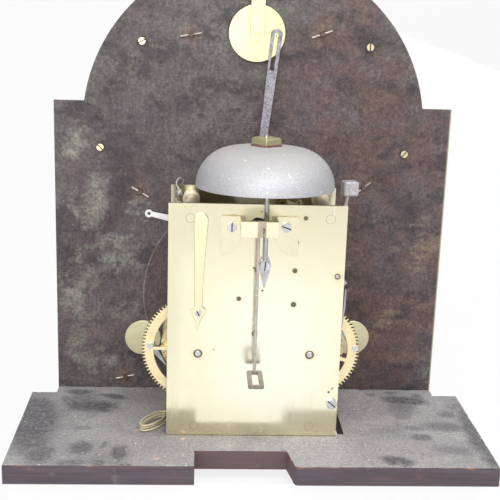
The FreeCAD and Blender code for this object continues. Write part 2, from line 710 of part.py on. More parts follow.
def dial_feet():
    """Four turned feet between the dial and the front plate."""
    out = []
    for p in DIAL_FEET:
        prof = [(FOOT_R - 0.3, FRONT_Y - 4.0), (FOOT_R, FRONT_Y - 3.4), (FOOT_R, FACE_Y), (4.2, FACE_Y)]
        prof += [(4.2, FACE_Y + 1.6), (3.0, FACE_Y + 3.0), (3.0, DIAL_Y - 3.0), (4.6, DIAL_Y - 1.2)]
        prof.append((4.6, DIAL_Y))
        out.append(turned(p, prof).cut(pin(p, FOOT_PIN_Y, FOOT_PIN_DEG, 6.0, 0)))
    return Part.makeCompound(out)


def dial_discs():
    """Two flat brass discs on the back of the dial."""
    return Part.makeCompound([cyl(p, 14.4, DIAL_Y - 1.2, DIAL_Y) for p in ((-84.3, 42.8), (84.6, 45.0))])


def ring_with_feet(at, r1, r0, thick, feet, deg):
    """Flat ring on the dial's front with feet that reach through to their pins."""
    body = cyl(at, r1, DIAL_F, DIAL_F + thick).cut(cyl(at, r0, DIAL_F - 1, DIAL_F + thick + 1))
    for p, a in zip(feet, deg):
        prof = [(RING_FOOT_R - 0.4, DIAL_Y - 3.6), (RING_FOOT_R, DIAL_Y - 3.0), (RING_FOOT_R, DIAL_F + 0.2)]
        post = turned(p, prof)
        body = body.fuse(post.cut(pin(p, RING_PIN_Y, a, 7.0, 0)))
    return body.removeSplitter()


def chapter_ring():
    """Chapter ring with its feet."""
    return ring_with_feet(CENTRE, 137.0, 98.0, RING_T, RING_FEET, RING_PIN_DEG)


def small_rings():
    """Seconds ring and arch ring."""
    seconds = ring_with_feet(ESCAPE, 26.5, 19.5, RING_T, [], [])
    arch = ring_with_feet(ARCH, 54.5, 40.5, RING_T, ARCH_FEET, ARCH_PIN_DEG)
    return Part.makeCompound([seconds, arch])


def lobes(at, terms, wave, n=44):
    """Leafy outline about a point: a base radius with petals in chosen directions."""
    out = []
    for i in range(n):
        a = 2 * math.pi * i / n
        r = terms[0]
        for size, deg, power in terms[1]:
            r += size * max(0.0, math.cos(a - math.radians(deg))) ** power
        r += wave * math.cos(9 * a)
        out.append(polar(at, r, a))
    return out


def spandrels():
    """Four corner castings and two arch castings, leafy scrolls with a raised middle."""
    out = []
    for p in SPANDREL_SCREWS[:4]:
        sx = 1 if p[0] > 0 else -1
        sz = 1 if p[1] > CENTRE_Z else -1
        petals = ((25.0, -50, 6), (25.0, 140, 6), (15.0, 45, 4), (4.0, 225, 4))
        base = lobes((0, 0), (14.0, petals), 1.6)
        pts = [(p[0] + sx * a, p[1] + sz * b) for a, b in base]
        leaf = plate(pts, DIAL_F, DIAL_F + 2.0)
        knop = turned(p, [(8.0, DIAL_F + 2.0), (6.5, DIAL_F + 3.4), (2.0, DIAL_F + 4.2)])
        out.append(fuse([leaf, knop]).cut(cyl(p, DIAL_SCREW_R, DIAL_F - 1, DIAL_F + 1.6)))
    for p in SPANDREL_SCREWS[4:]:
        sx = 1 if p[0] > 0 else -1
        base = lobes((0, 0), (9.0, ((12.0, 127, 4), (24.0, -53, 6), (5.0, 37, 4))), 1.2)
        leaf = plate([(p[0] + sx * a, p[1] + b) for a, b in base], DIAL_F, DIAL_F + 2.0)
        knop = turned(p, [(6.0, DIAL_F + 2.0), (4.8, DIAL_F + 3.2), (1.6, DIAL_F + 3.8)])
        out.append(fuse([leaf, knop]).cut(cyl(p, DIAL_SCREW_R, DIAL_F - 1, DIAL_F + 1.6)))
    return Part.makeCompound(out)


def spandrel_screws():
    """Brass slotted screws that hold the castings, heads on the back of the dial."""
    slots = (10, 45, 65, -50, -30, 90)
    return Part.makeCompound(
        [screw(p, DIAL_Y, DIAL_F + 1.6, 3.4, 2.6, DIAL_SCREW_R, a) for p, a in zip(SPANDREL_SCREWS, slots)]
    )


def arch_cock():
    """Brass cock that carries the rear pivot of the arch disc."""
    y = ARCH_COCK_Y
    bar = [polar(ARCH, 5.3, math.radians(a)) for a in range(180, 361, 15)]
    bar += [(ARCH[0] + 5.3, ARCH[1] + 36.0), (ARCH[0] - 5.3, ARCH[1] + 36.0)]
    strip = plate(bar, y, y + 2.2)
    foot = block(ARCH[0] - 5.3, ARCH[0] + 5.3, y + 2.2, DIAL_Y, ARCH[1] + 26.0, ARCH[1] + 36.0)
    cuts = [cyl(ARCH, 1.5 + FIT, y - 1, y + 4), cyl(ARCH_COCK_SCREW, SMALL_SCREW_R, y - 1, DIAL_F)]
    return fuse([strip, foot]).cut(cuts)


def hour_bridge():
    """Bridge over the cannon wheel with the pipe that the hour wheel turns on."""
    y0, y1 = BRIDGE_TOP - 2.0, BRIDGE_TOP
    a, b = BRIDGE_SCREWS
    ends = strap(polar(CENTRE, 24.5, BRIDGE_TURN), polar(CENTRE, -24.5, BRIDGE_TURN), 9.0, 9.0)
    pieces = [plate(ends, y0, y1)]
    for p in (a, b):
        s = 1 if p == a else -1
        ends = strap(polar(CENTRE, s * 16.8, BRIDGE_TURN), polar(CENTRE, s * 24.5, BRIDGE_TURN), 9.0, 9.0)
        pieces.append(plate(ends, FACE_Y, y0))
    pieces.append(cyl(CENTRE, PIPE_R, y0, PIPE_END))
    cuts = [cyl(CENTRE, CANNON_R + GAP, y0 - 1, PIPE_END + 1)]
    cuts += [cyl(p, SMALL_SCREW_R, FACE_Y - 1, y1 + 1) for p in (a, b)]
    cuts += [cyl(p, 3.0, y1 - BRIDGE_SINK, y1 + 1) for p in (a, b)]
    return fuse(pieces).cut(cuts)


def stud(at, y_low, y_high):
    """Steel stud in the front plate: seat, shoulder, bearing and a small head."""
    prof = [(STUD_SEAT_R, FRONT_Y), (STUD_SEAT_R, FACE_Y), (3.4, FACE_Y), (3.4, y_low - 0.2)]
    prof += [(STUD_R, y_low - 0.2), (STUD_R, y_high + 0.2), (2.9, y_high + 0.2), (2.9, y_high + 1.2)]
    return turned(at, prof)


def work_studs():
    """Studs of the rack, hook, lifting piece, minute wheel and strike lever."""
    levers = ((RACK, RACK_Y), (HOOK, RACK_Y), (LIFT, LIFT_Y), (SILENT, LEVER_Y))
    out = [stud(at, y[0], y[1]) for at, y in levers]
    prof = [(STUD_SEAT_R, FRONT_Y), (STUD_SEAT_R, FACE_Y), (3.4, FACE_Y), (3.4, CANNON_Y[0] - 0.2)]
    prof += [(MINUTE_BORE - FIT, CANNON_Y[0] - 0.2), (MINUTE_BORE - FIT, HOUR_Y[1] + 1.6)]
    out.append(turned(MINUTE, prof))
    return Part.makeCompound(out)


def hook_spring():
    """Bent wire spring over the top of the front plate, held by a screw with a round head."""
    x, z = COIL_SCREW
    prof = [(1.2, FRONT_Y - 4.0), (2.4, FRONT_Y - 3.0), (2.4, FRONT_Y - 1.0), (1.6, FRONT_Y)]
    head = turned(COIL_SCREW, prof + [(SMALL_SCREW_R, FRONT_Y), (SMALL_SCREW_R, FACE_Y)])
    left, right = x - 3.9, x + 6.3
    back, front = FRONT_Y - 1.6, FACE_Y + 1.9
    wire = [V(x, back, z + 1.5), V(left, back, z + 10.8), V(right, front, z + 10.8)]
    wire += [V(x - 5.2, front, z - 2.0), V(x - 5.2, front, z - 16.0)]
    return fuse([head, tube(wire, 0.75, 3.6)])


def ratchet(at, y):
    """Saw-toothed ratchet disc."""
    pts = []
    for i in range(RATCHET_T):
        a = 2 * math.pi * i / RATCHET_T
        pts.append(polar(at, 23.6, a))
        pts.append(polar(at, 26.0, a + 0.02))
    return plate(pts, y[0], y[1])


def barrel(at, grooved):
    """Hollow drum with end discs and its ratchet."""
    y0, y1 = DRUM_Y
    prof = [(FLANGE_R, y0), (FLANGE_R, y0 + 1.5), (DRUM_R, y0 + 1.5)]
    if grooved:
        n = 16
        step = (y1 - y0 - 5.0) / n
        for i in range(n):
            y = y0 + 2.5 + i * step
            prof += [(DRUM_R, y), (DRUM_R - 0.7, y + step / 2)]
    prof += [(DRUM_R, y1 - 1.5), (FLANGE_R, y1 - 1.5), (FLANGE_R, y1)]
    drum = turned(at, prof)
    hollow = cyl(at, DRUM_R - 2.5, y0 + 2.5, y1 - 2.5)
    teeth_disc = ratchet(at, (RATCHET_Y[0], y0))
    return fuse([drum.cut(hollow), teeth_disc]).cut(cyl(at, GREAT_ARBOR_R, RATCHET_Y[0] - 1, y1 + 1))


def great_arbor(at):
    """Steel winding arbor with its pivots and winding square."""
    back, front = PIVOTS[at]
    r = GREAT_ARBOR_R
    prof = [(back - 0.5, -0.3), (back, 0.3), (back, PLATE_T), (r, PLATE_T + GAP), (r, FRONT_Y - GAP)]
    prof += [(front, FRONT_Y - GAP), (front, FACE_Y + 1.0)]
    bar = turned(at, prof)
    s = 2.75
    square = block(at[0] - s, at[0] + s, FACE_Y + 0.5, WIND_END, at[1] - s, at[1] + s)
    return fuse([bar, square])


def great_wheel(at, n, m, phase, arms, first):
    """Great wheel, free on its arbor, with a broad rim, thin arms and the rivet of its click."""
    body = crossed(at, n, m, phase, GREAT_Y, arms, 6.4, 10.5, GREAT_ARBOR_R + FIT, 2.6, math.radians(first))
    p = polar(at, CLICK_R, math.radians(click_turn(at)))
    rivet = turned(p, [(2.3, GREAT_Y[0] - 0.6), (2.3, GREAT_Y[0] + 0.2), (CLICK_POST_R, GREAT_Y[0] + 0.2)])
    post = turned(p, [(CLICK_POST_R, GREAT_Y[0]), (CLICK_POST_R, RATCHET_Y[1] + 0.15)])
    return fuse([body, rivet, post])


def click_turn(at):
    """Direction of the click from its wheel's centre, in degrees."""
    return 177.0 if at == GOING else 3.0


def click(at):
    """Click on its post, its nose in a ratchet gap."""
    side = math.radians(click_turn(at))
    p = polar(at, CLICK_R, side)
    y = (GREAT_Y[1] + 0.15, RATCHET_Y[1] - 0.1)
    step = 2 * math.pi / RATCHET_T
    i = math.ceil((side + math.radians(33)) / step)
    a = i * step
    nose = [polar(at, 26.9, a + 0.004), polar(at, 24.5, a - 0.012), polar(at, 26.6, a - 0.075)]
    tail = [polar(at, r, side + a) for r, a in ((31.5, -0.02), (37.3, -0.02), (37.3, 0.04))]
    shape = plate([tail[0], tail[1], tail[2], nose[0], nose[1], nose[2]], y[0], y[1])
    boss = cyl(p, 3.2, y[0], y[1])
    return fuse([shape, boss]).cut(cyl(p, CLICK_POST_R + FIT, y[0] - 1, y[1] + 1))


def coil_points():
    """Points and directions of the wound line at each half turn, from the front end to the last turn."""
    r = COIL_R
    pts = []
    tans = []
    rise = LINE_PITCH / (2 * math.pi)
    for i in range(2 * LINE_TURNS + 1):
        a = math.pi * (2 * LINE_TURNS - i)
        x, z = polar(GOING, r, a)
        pts.append(V(x, LINE_LAST_Y + rise * a, z))
        tans.append(V(r * math.sin(a), -rise, -r * math.cos(a)).normalize())
    return pts, tans


def line_wound():
    """Gut line wound on the going barrel."""
    pts, tans = coil_points()
    edges = [Part.makeLine(pts[0] - tans[0] * LINE_D, pts[0])] + biarcs(pts, tans)
    edges.append(Part.makeLine(pts[-1], pts[-1] + tans[-1] * LINE_D))
    print("wound line: length", round(sum(e.Length for e in edges), 1), "self gap",
          round(self_gap(edges, LINE_D / 2, 40.0), 2))
    return wire_tube(edges, LINE_D / 2)


def hank_at(t):
    """Point of the hank's loops at turn angle t: flat ellipses that drop by a pitch each turn."""
    wide = HANK_WIDE + 0.9 * math.cos(t / 3)
    u = HANK_LONG - HANK_LONG * math.cos(t)
    w = -wide * math.sin(t)
    x = HANK_NECK[0] + u * math.cos(HANK_AXIS) - w * math.sin(HANK_AXIS)
    y = HANK_NECK[1] + u * math.sin(HANK_AXIS) + w * math.cos(HANK_AXIS)
    return V(x, y, HANK_TOP - LINE_PITCH * t / (2 * math.pi))


def runs_and_arcs(points):
    """Straight runs joined by tangent arcs, each as large as its two runs allow."""
    edges = []
    radii = []
    start = points[0]
    for i in range(1, len(points) - 1):
        here = points[i]
        to_a = points[i - 1] - here
        to_b = points[i + 1] - here
        back = 0.45 * min(to_a.Length, to_b.Length)
        u = to_a.normalize()
        w = to_b.normalize()
        half = u.getAngle(w) / 2
        r = back * math.tan(half)
        mid = here + (u + w).normalize() * (r / math.sin(half) - r)
        edges.append(Part.makeLine(start, here + u * back))
        edges.append(Part.Arc(here + u * back, mid, here + w * back).toShape())
        start = here + w * back
        radii.append(round(r, 1))
    print("lead: radii", radii)
    return edges, start


def line_hank():
    """Loose end of the line: down from the barrel, over a pillar and into a small hank on the board."""
    n = 4 * HANK_LOOPS
    pts = [hank_at(math.pi / 2 * i) for i in range(n + 1)]
    tans = []
    for i in range(n + 1):
        t = math.pi / 2 * i
        tans.append((hank_at(t + 1e-4) - hank_at(t - 1e-4)).normalize())
    edges, start = runs_and_arcs(LEAD + [pts[0]])
    along = (pts[0] - start).normalize()
    half = start + (pts[0] - start) * 0.4
    edges.append(Part.makeLine(start, half))
    edges += biarcs([half, pts[0]], [along, tans[0]])
    edges += biarcs(pts, tans)
    edges.append(Part.makeLine(pts[-1], pts[-1] + tans[-1] * LINE_D))
    print("hank: length", round(sum(e.Length for e in edges), 1), "self gap",
          round(self_gap(edges, LINE_D / 2, 12.0), 2))
    return wire_tube(edges, LINE_D / 2)


M_GREAT = module(GOING, CENTRE, GREAT_T, LEAVES)
M_CENTRE = module(CENTRE, THIRD, CENTRE_T, LEAVES)
M_THIRD = module(THIRD, ESCAPE, THIRD_T, LEAVES_7)
M_STRIKE = module(STRIKE, PINW, STRIKE_T, LEAVES)
M_PIN = module(PINW, LOCK, PIN_T, LEAVES)
M_LOCK = module(LOCK, WARN, LOCK_T, LEAVES_7)
M_WARN = module(WARN, FLY, WARN_T, LEAVES_7)
M_CANNON = module(CENTRE, MINUTE, CANNON_T, CANNON_T)
M_HOUR = module(CENTRE, MINUTE, HOUR_T, LEAVES_6)


def arbor(at, bearing, r, y0=0.2, y1=FACE_Y):
    """Plain steel arbor with a pivot in each plate."""
    back, front = PIVOTS[at]
    prof = [(back, y0), (back, PLATE_T + GAP), (r, PLATE_T + GAP), (r, FRONT_Y - GAP)]
    prof += [(front, FRONT_Y - GAP), (front, y1)]
    return turned(at, prof + bearing)


def centre_parts():
    """Centre arbor with its pinion, and the centre wheel."""
    lead = in_mesh(GOING, GREAT_T, PHASE, CENTRE, LEAVES)
    rod = arbor(CENTRE, [(CENTRE_TIP_R, FACE_Y), (CENTRE_TIP_R, CANNON_END + 2.0)], 1.8)
    prof = [(4.2, CENTRE_Y[0] - 4.0), (4.2, CENTRE_Y[0]), (2.8, CENTRE_Y[0]), (2.8, CENTRE_Y[1] + 0.6)]
    collet = turned(CENTRE, prof)
    steel = fuse([rod, pinion(CENTRE, LEAVES, M_GREAT, lead, GREAT_Y[0] - 2.5, GREAT_Y[1]), collet])
    brass = crossed(CENTRE, CENTRE_T, M_CENTRE, PHASE, CENTRE_Y, 4, 2.6, 6.2, 2.8)
    return steel, brass


def wheel_on_arbor(at, n, m, phase, y, hub, leaves, m_in, lead, py, extra, r=1.5):
    """Crossed wheel riveted on its pinion's arbor."""
    rod = arbor(at, extra, r)
    wheel = crossed(at, n, m, phase, y, 4, 2.2, hub, r - 0.3, 2.6)
    collet = cyl(at, hub - 1.4, y[0] - 1.6, y[0])
    return fuse([rod, wheel, collet, pinion(at, leaves, m_in, lead, py[0], py[1])])


def escape_wheel():
    """Escape wheel with pointed recoil teeth and its crossings."""
    tip = (PALLET[1] - ESCAPE[1]) * math.cos(math.radians(45))
    pts = []
    for i in range(ESCAPE_T):
        a = PHASE + 2 * math.pi * i / ESCAPE_T
        pts.append(polar(ESCAPE, tip - 4.2, a - 0.045))
        pts.append(polar(ESCAPE, tip, a + 0.012))
        pts.append(polar(ESCAPE, tip, a + 0.032))
        pts.append(polar(ESCAPE, tip - 4.2, a + 0.075))
    body = plate(pts, ESCAPE_Y[0], ESCAPE_Y[1])
    cuts = [cyl(ESCAPE, 2.2, ESCAPE_Y[0] - 1, ESCAPE_Y[1] + 1)]
    for k in range(4):
        lo = k * math.pi / 2
        hi = lo + math.pi / 2
        hole = window(ESCAPE, 4.8, tip - 6.4, (lo + 0.25, hi - 0.25), (lo + 0.08, hi - 0.08))
        hole = hole.extrude(V(0, 4, 0))
        hole.translate(V(0, ESCAPE_Y[0] - 1, 0))
        cuts.append(hole)
    return body.cut(cuts)


def escape_arbor():
    """Escape arbor with its pinion and the long front pivot that carries the seconds hand."""
    lead = in_mesh(THIRD, THIRD_T, PHASE, ESCAPE, LEAVES_7)
    rod = arbor(ESCAPE, [(1.0, FACE_Y + 0.5), (1.0, SECONDS_Y[1])], 1.2)
    prof = [(3.6, ESCAPE_Y[0] - 3.0), (3.6, ESCAPE_Y[0]), (2.2, ESCAPE_Y[0]), (2.2, ESCAPE_Y[1] + 0.5)]
    leaves = pinion(ESCAPE, LEAVES_7, M_THIRD, lead, THIRD_Y[0] - 2.5, THIRD_Y[1] + 2.5)
    return fuse([rod, turned(ESCAPE, prof), leaves])


def pallets():
    """Pallet arbor with its anchor; the nibs stand just clear of the escape wheel."""
    half = [(0.0, 163.6), (8.0, 161.8), (17.0, 155.0), (21.0, 147.5), (16.65, 143.35), (14.2, 148.3)]
    half.append((8.0, 153.2))
    pts = half + [(0.0, 154.0)] + [(-x, z) for x, z in reversed(half[1:])]
    anchor = plate(pts, ANCHOR_Y[0], ANCHOR_Y[1])
    r = PALLET_PIVOT
    near = -COCK_OUT + COCK_BAR + GAP
    prof = [(r, -COCK_OUT + 1.4), (r, near), (1.6, near), (1.6, FRONT_Y - GAP)]
    prof += [(r, FRONT_Y - GAP), (r, FACE_Y)]
    return fuse([turned(PALLET, prof), anchor])


def crutch():
    """Steel crutch: a collet on the pallet arbor, a thin rod and a flat closed loop towards the rear."""
    x, z = PALLET
    collet = turned(PALLET, [(3.4, CRUTCH_Y - 2.0), (3.4, CRUTCH_Y + 2.0)]).cut(cyl(PALLET, 1.6, -20, 0))
    rod = Part.makeCylinder(CRUTCH_R, z - 2.2 - CRUTCH_Z, V(x, CRUTCH_Y, CRUTCH_Z))
    w = CRUTCH_W / 2
    far = CRUTCH_Y + CRUTCH_BAR / 2
    lo, hi = CRUTCH_Z - 1.2, CRUTCH_Z + 1.0
    loop = block(-w, w, far - CRUTCH_L, far, lo, hi)
    corners = [e for e in loop.Edges if e.BoundBox.ZLength > 1.0]
    loop = loop.makeFillet(2.2, corners)
    w -= CRUTCH_BAR
    hole = block(-w, w, far - CRUTCH_L + CRUTCH_BAR - 0.4, far - CRUTCH_BAR, lo - 1, hi + 1)
    return fuse([collet, rod, loop.cut(hole)])


def cannon_wheel():
    """Cannon wheel with the pipe that carries the minute hand."""
    body = plate(teeth(CENTRE, CANNON_T, M_CANNON, PHASE, 1.0, 1.5, 0.09, 0.24), CANNON_Y[0], CANNON_Y[1])
    pipe = cyl(CENTRE, CANNON_R, CANNON_Y[0], CANNON_END)
    return fuse([body, pipe]).cut(cyl(CENTRE, CENTRE_TIP_R, CANNON_Y[0] - 1, CANNON_END + 1))


def minute_wheel():
    """Minute wheel with its long pinion, on a stud."""
    lead = in_mesh(CENTRE, CANNON_T, PHASE, MINUTE, CANNON_T)
    body = crossed(MINUTE, CANNON_T, M_CANNON, lead, CANNON_Y, 4, 2.0, 4.2, MINUTE_BORE, 2.4)
    drive = in_mesh(CENTRE, HOUR_T, PHASE, MINUTE, LEAVES_6)
    leaves = pinion(MINUTE, LEAVES_6, M_HOUR, drive, CANNON_Y[1] - 0.5, HOUR_Y[1] + 0.6)
    lift = cyl(polar(MINUTE, 10.6, 2.4), 0.8, CANNON_Y[1] - 1, LIFT_Y[1])
    return fuse([body, leaves, lift]).cut(cyl(MINUTE, MINUTE_BORE, CANNON_Y[0] - 1, HOUR_Y[1] + 2))


def snail():
    """Twelve-step snail; the step of the hour shown faces the rack's tail."""
    start = math.atan2(RACK_TAIL[1] - CENTRE[1], RACK_TAIL[0] - CENTRE[0]) + math.radians(5)
    pts = []
    for h in range(12):
        r = 24.0 - h * 14.5 / 11
        lo = start - math.radians(30) * (h + 1 - 10)
        for k in range(4):
            pts.append(polar(CENTRE, r, lo - math.radians(30) * k / 3))
    return plate(pts, SNAIL_Y[0], SNAIL_Y[1])


def hour_wheel():
    """Hour wheel with its pipe and snail."""
    body = crossed(CENTRE, HOUR_T, M_HOUR, PHASE, HOUR_Y, 4, 2.6, 9.0, PIPE_R + GAP, 3.0)
    pipe = cyl(CENTRE, HOUR_PIPE_R, SNAIL_Y[0], HOUR_PIPE_END)
    spacer = cyl(CENTRE, 9.2, SNAIL_Y[1] - 0.2, HOUR_Y[0] + 0.2)
    hole = cyl(CENTRE, PIPE_R + GAP, SNAIL_Y[0] - 1, HOUR_PIPE_END + 1)
    return fuse([body, pipe, spacer, snail()]).cut(hole)


RACK_TAIL = polar(RACK, RACK_TAIL_L, math.radians(RACK_TAIL_DEG))


def rack():
    """Rack with its toothed sector, arm and tail pin."""
    pts = []
    n = 20
    lo, step = math.radians(91), math.radians(1.75)
    for i in range(n):
        pts.append(polar(RACK, RACK_R - 1.6, lo + i * step))
        pts.append(polar(RACK, RACK_R, lo + i * step + 0.2 * step))
    pts.append(polar(RACK, RACK_R - 1.6, lo + n * step))
    for i in range(6):
        pts.append(polar(RACK, RACK_R - 5.6, lo + (n - n * i / 5) * step))
    sector = plate(pts, RACK_Y[0], RACK_Y[1])
    arm = plate(strap(RACK, polar(RACK, RACK_R - 3.5, math.radians(108)), 6.5, 4.5), RACK_Y[0], RACK_Y[1])
    end = polar(RACK, RACK_TAIL_L + 2.0, math.radians(RACK_TAIL_DEG))
    tail = plate(strap(RACK, end, 5.5, 3.4), RACK_Y[0], RACK_Y[1])
    boss = cyl(RACK, 5.2, RACK_Y[0], RACK_Y[1])
    peg = cyl(RACK_TAIL, 1.0, RACK_Y[0], SNAIL_Y[0] - GAP)
    return fuse([sector, arm, tail, boss, peg]).cut(cyl(RACK, STUD_R + FIT, RACK_Y[0] - 1, RACK_Y[1] + 1))


def rack_hook():
    """Rack hook whose long tail ends in the eye of the repeat cord."""
    tip = polar(RACK, RACK_R + 0.4, math.radians(124))
    eye = (-79.2, 149.4)
    pts = [(-36.0, 144.4), (0.0, 143.6), (14.0, 139.0), (21.2, 128.0), (tip[0] + 1.2, tip[1] + 0.9), tip]
    pts += [(tip[0] - 1.4, tip[1] + 1.6), (17.2, 127.0), (11.0, 134.5), (0.0, 138.6), (-36.0, 135.6)]
    arm = plate(pts, RACK_Y[0], RACK_Y[1])
    tail = plate(strap(HOOK, eye, 7.0, 3.4), RACK_Y[0], RACK_Y[1])
    boss = cyl(HOOK, 5.0, RACK_Y[0], RACK_Y[1])
    end = cyl(eye, 3.0, RACK_Y[0], RACK_Y[1])
    peg = cyl((-14.0, 141.0), 0.9, RACK_Y[0], LIFT_Y[0] - GAP)
    cuts = [cyl(p, r, RACK_Y[0] - 1, RACK_Y[1] + 1) for p, r in ((HOOK, STUD_R + FIT), (eye, 1.3))]
    return fuse([arm, tail, boss, end, peg]).cut(cuts)


def lifting_piece():
    """Lifting piece: a short arm at the minute wheel's pin and a long arm under the rack hook's pin."""
    y0, y1 = LIFT_Y
    low = plate(strap(LIFT, (-22.6, 54.4), 6.5, 3.0), y0, y1)
    high = plate(strap(LIFT, (-15.2, 137.2), 6.5, 3.2), y0, y1)
    boss = cyl(LIFT, 5.0, y0, y1)
    return fuse([low, high, boss]).cut(cyl(LIFT, STUD_R + FIT, y0 - 1, y1 + 1))


def locking_wheel():
    """Locking wheel on its arbor, with the gathering pallet on the front end."""
    lead = in_mesh(PINW, PIN_T, PHASE, LOCK, LEAVES)
    extra = [(1.5, FACE_Y), (1.5, RACK_Y[1] + 0.8)]
    body = wheel_on_arbor(LOCK, LOCK_T, M_LOCK, PHASE, LOCK_Y, 4.6, LEAVES, M_PIN, lead,
                          (PIN_Y[0] - 2, PIN_Y[1] + 2), extra)
    boss = cyl(LOCK, 2.9, RACK_Y[0] - 0.6, RACK_Y[1] + 0.4)
    corners = [polar(LOCK, r, a) for r, a in ((2.0, 3.6), (4.3, 4.05), (2.0, 4.6))]
    nib = plate(corners, RACK_Y[0], RACK_Y[1])
    tail = plate(strap(LOCK, polar(LOCK, 9.0, 1.2), 4.0, 2.0), RACK_Y[1] - 0.2, RACK_Y[1] + 0.4)
    return fuse([body, boss, nib, tail.translated(V(0, 0.4, 0))])


def pin_wheel():
    """Pin wheel with eight lifting pins on its arbor."""
    lead = in_mesh(STRIKE, STRIKE_T, PHASE, PINW, LEAVES)
    body = wheel_on_arbor(PINW, PIN_T, M_PIN, PHASE, PIN_Y, 5.0, LEAVES, M_STRIKE, lead,
                          (GREAT_Y[0] - 2.5, GREAT_Y[1]), [], 1.8)
    pegs = [cyl(polar(PINW, PIN_CIRCLE, PHASE + k * math.pi / 4), 0.9, PIN_Y[0], 65.2) for k in range(8)]
    return fuse([body] + pegs)


def warning_wheel():
    """Warning wheel on its arbor with its warning pin."""
    lead = in_mesh(LOCK, LOCK_T, PHASE, WARN, LEAVES_7)
    body = wheel_on_arbor(WARN, WARN_T, M_WARN, PHASE, WARN_Y, 4.2, LEAVES_7, M_LOCK, lead,
                          (LOCK_Y[0] - 2, LOCK_Y[1] + 2), [], 1.2)
    return fuse([body, cyl(polar(WARN, 13.6, 0.8), 0.7, WARN_Y[0], WARN_Y[1] + 5.0)])


def fly():
    """Fly: a brass vane on its arbor, with the last pinion."""
    lead = in_mesh(WARN, WARN_T, PHASE, FLY, LEAVES_7)
    rod = arbor(FLY, [], 1.1)
    leaves = pinion(FLY, LEAVES_7, M_WARN, lead, WARN_Y[0] - 2, WARN_Y[1] + 2)
    vane = block(-11.0, 11.0, 9.0, 43.0, -0.5, 0.5)
    vane.rotate(V(0, 0, 0), V(0, 1, 0), 20)
    vane.translate(V(FLY[0], 0, FLY[1]))
    sleeve = cyl(FLY, 1.9, 12.0, 40.0)
    return fuse([rod, leaves, vane, sleeve])


def hammer():
    """Hammer: arbor with a lifting tail and a spring tail, a thin stem and an iron head."""
    x, z = HAMMER
    rod = arbor(HAMMER, [], 2.2)
    collet = cyl(HAMMER, 4.0, 25.0, 31.0)
    head_at = (67.0, BELL_RIM_Z - 0.7)
    stem = tube_line(V(x, 28.0, z), V(head_at[0] - 1.0, 28.0, head_at[1] - 3.0), 1.2)
    head = block(-5.5, 5.5, -4.6, 4.6, -5.2, 5.2)
    head = head.makeChamfer(0.8, head.Edges)
    head.rotate(V(0, 0, 0), V(0, 0, 1), 12)
    head.translate(V(head_at[0], 29.0, head_at[1]))
    d = math.dist(HAMMER, PINW) - PIN_CIRCLE - 0.9 - GAP
    line = math.atan2(PINW[1] - z, PINW[0] - x)
    tail = plate(strap(HAMMER, polar(HAMMER, d, line), 6.0, 2.4), 62.0, 64.6)
    heel = plate(strap(HAMMER, polar(HAMMER, 9.6, math.radians(-46)), 5.0, 2.6), 4.4, 8.4)
    return fuse([rod, collet, stem, head, tail, heel])


def tube_line(a, b, r):
    """Straight round bar between two points."""
    return Part.makeCylinder(r, (b - a).Length, a, b - a)


def turn_to(shape, at, deg):
    """Turn a hand that points up to a place on the dial, clockwise as seen from the front."""
    shape = shape.copy()
    shape.rotate(V(at[0], 0, at[1]), V(0, 1, 0), -deg)
    return shape


def hour_hand():
    """Pierced steel hour hand."""
    y0, y1 = HOUR_HAND_Y
    x, z = CENTRE
    boss = cyl(CENTRE, 10.5, y0, y1)
    arm = plate(strap((x, z + 6), (x, z + 38), 6.0, 4.0), y0, y1)
    petals = ((9.0, 90, 4), (8.0, 0, 6), (8.0, 180, 6), (6.0, 270, 4))
    head = plate(lobes((x, z + 46), (6.0, petals), 0.0, 32), y0, y1)
    tip = plate([(x - 3.0, z + 56), (x + 3.0, z + 56), (x + 0.6, z + 77), (x - 0.6, z + 77)], y0, y1)
    cuts = [cyl(CENTRE, HOUR_PIPE_R, y0 - 1, y1 + 1)]
    cuts += [cyl((x + a, z + b), 2.4, y0 - 1, y1 + 1) for a, b in ((0, 52), (6.2, 46), (-6.2, 46), (0, 40))]
    return turn_to(fuse([boss, arm, head, tip]).cut(cuts), CENTRE, HOUR_DEG)


def minute_hand():
    """Pierced steel minute hand."""
    y0, y1 = MINUTE_HAND_Y
    x, z = CENTRE
    boss = cyl(CENTRE, 8.0, y0, y1)
    petals = ((6.0, 90, 4), (3.5, 0, 6), (3.5, 180, 6), (5.0, 270, 4))
    ring = plate(lobes((x, z + 20), (5.5, petals), 0.0, 32), y0, y1)
    arm = plate(strap((x, z + 6), (x, z + 118), 4.6, 1.0), y0, y1)
    cuts = [cyl(CENTRE, CANNON_R, y0 - 1, y1 + 1)]
    cuts += [cyl((x + a, z + 20), 1.7, y0 - 1, y1 + 1) for a in (-4.6, 4.6)]
    return turn_to(fuse([boss, ring, arm]).cut(cuts), CENTRE, MINUTE_DEG)


def seconds_hand():
    """Small seconds hand on the long front pivot of the escape arbor."""
    y0, y1 = SECONDS_Y
    x, z = ESCAPE
    boss = cyl(ESCAPE, 3.2, y0, y1)
    arm = plate(strap((x, z - 8), (x, z + 19), 2.2, 0.8), y0, y1)
    return fuse([boss, arm]).cut(cyl(ESCAPE, 1.0, y0 - 1, y1 + 1))


def silent_disc():
    """Arch disc with its arbor and the pin that works the slotted lever."""
    step = ARCH_COCK_Y + 2.4
    rod = turned(ARCH, [(1.5, ARCH_COCK_Y), (1.5, step), (2.5, step), (2.5, SILENT_HAND_Y[1])])
    disc = turned(ARCH, [(21.2, DISC_Y[0]), (21.2, DISC_Y[1] - 0.3), (20.9, DISC_Y[1])])
    peg = cyl((ARCH[0] + PEG_R, ARCH[1] - 1.5), 1.0, LEVER_Y[1] + GAP, DISC_Y[1] - 0.5)
    return fuse([rod, disc, peg])


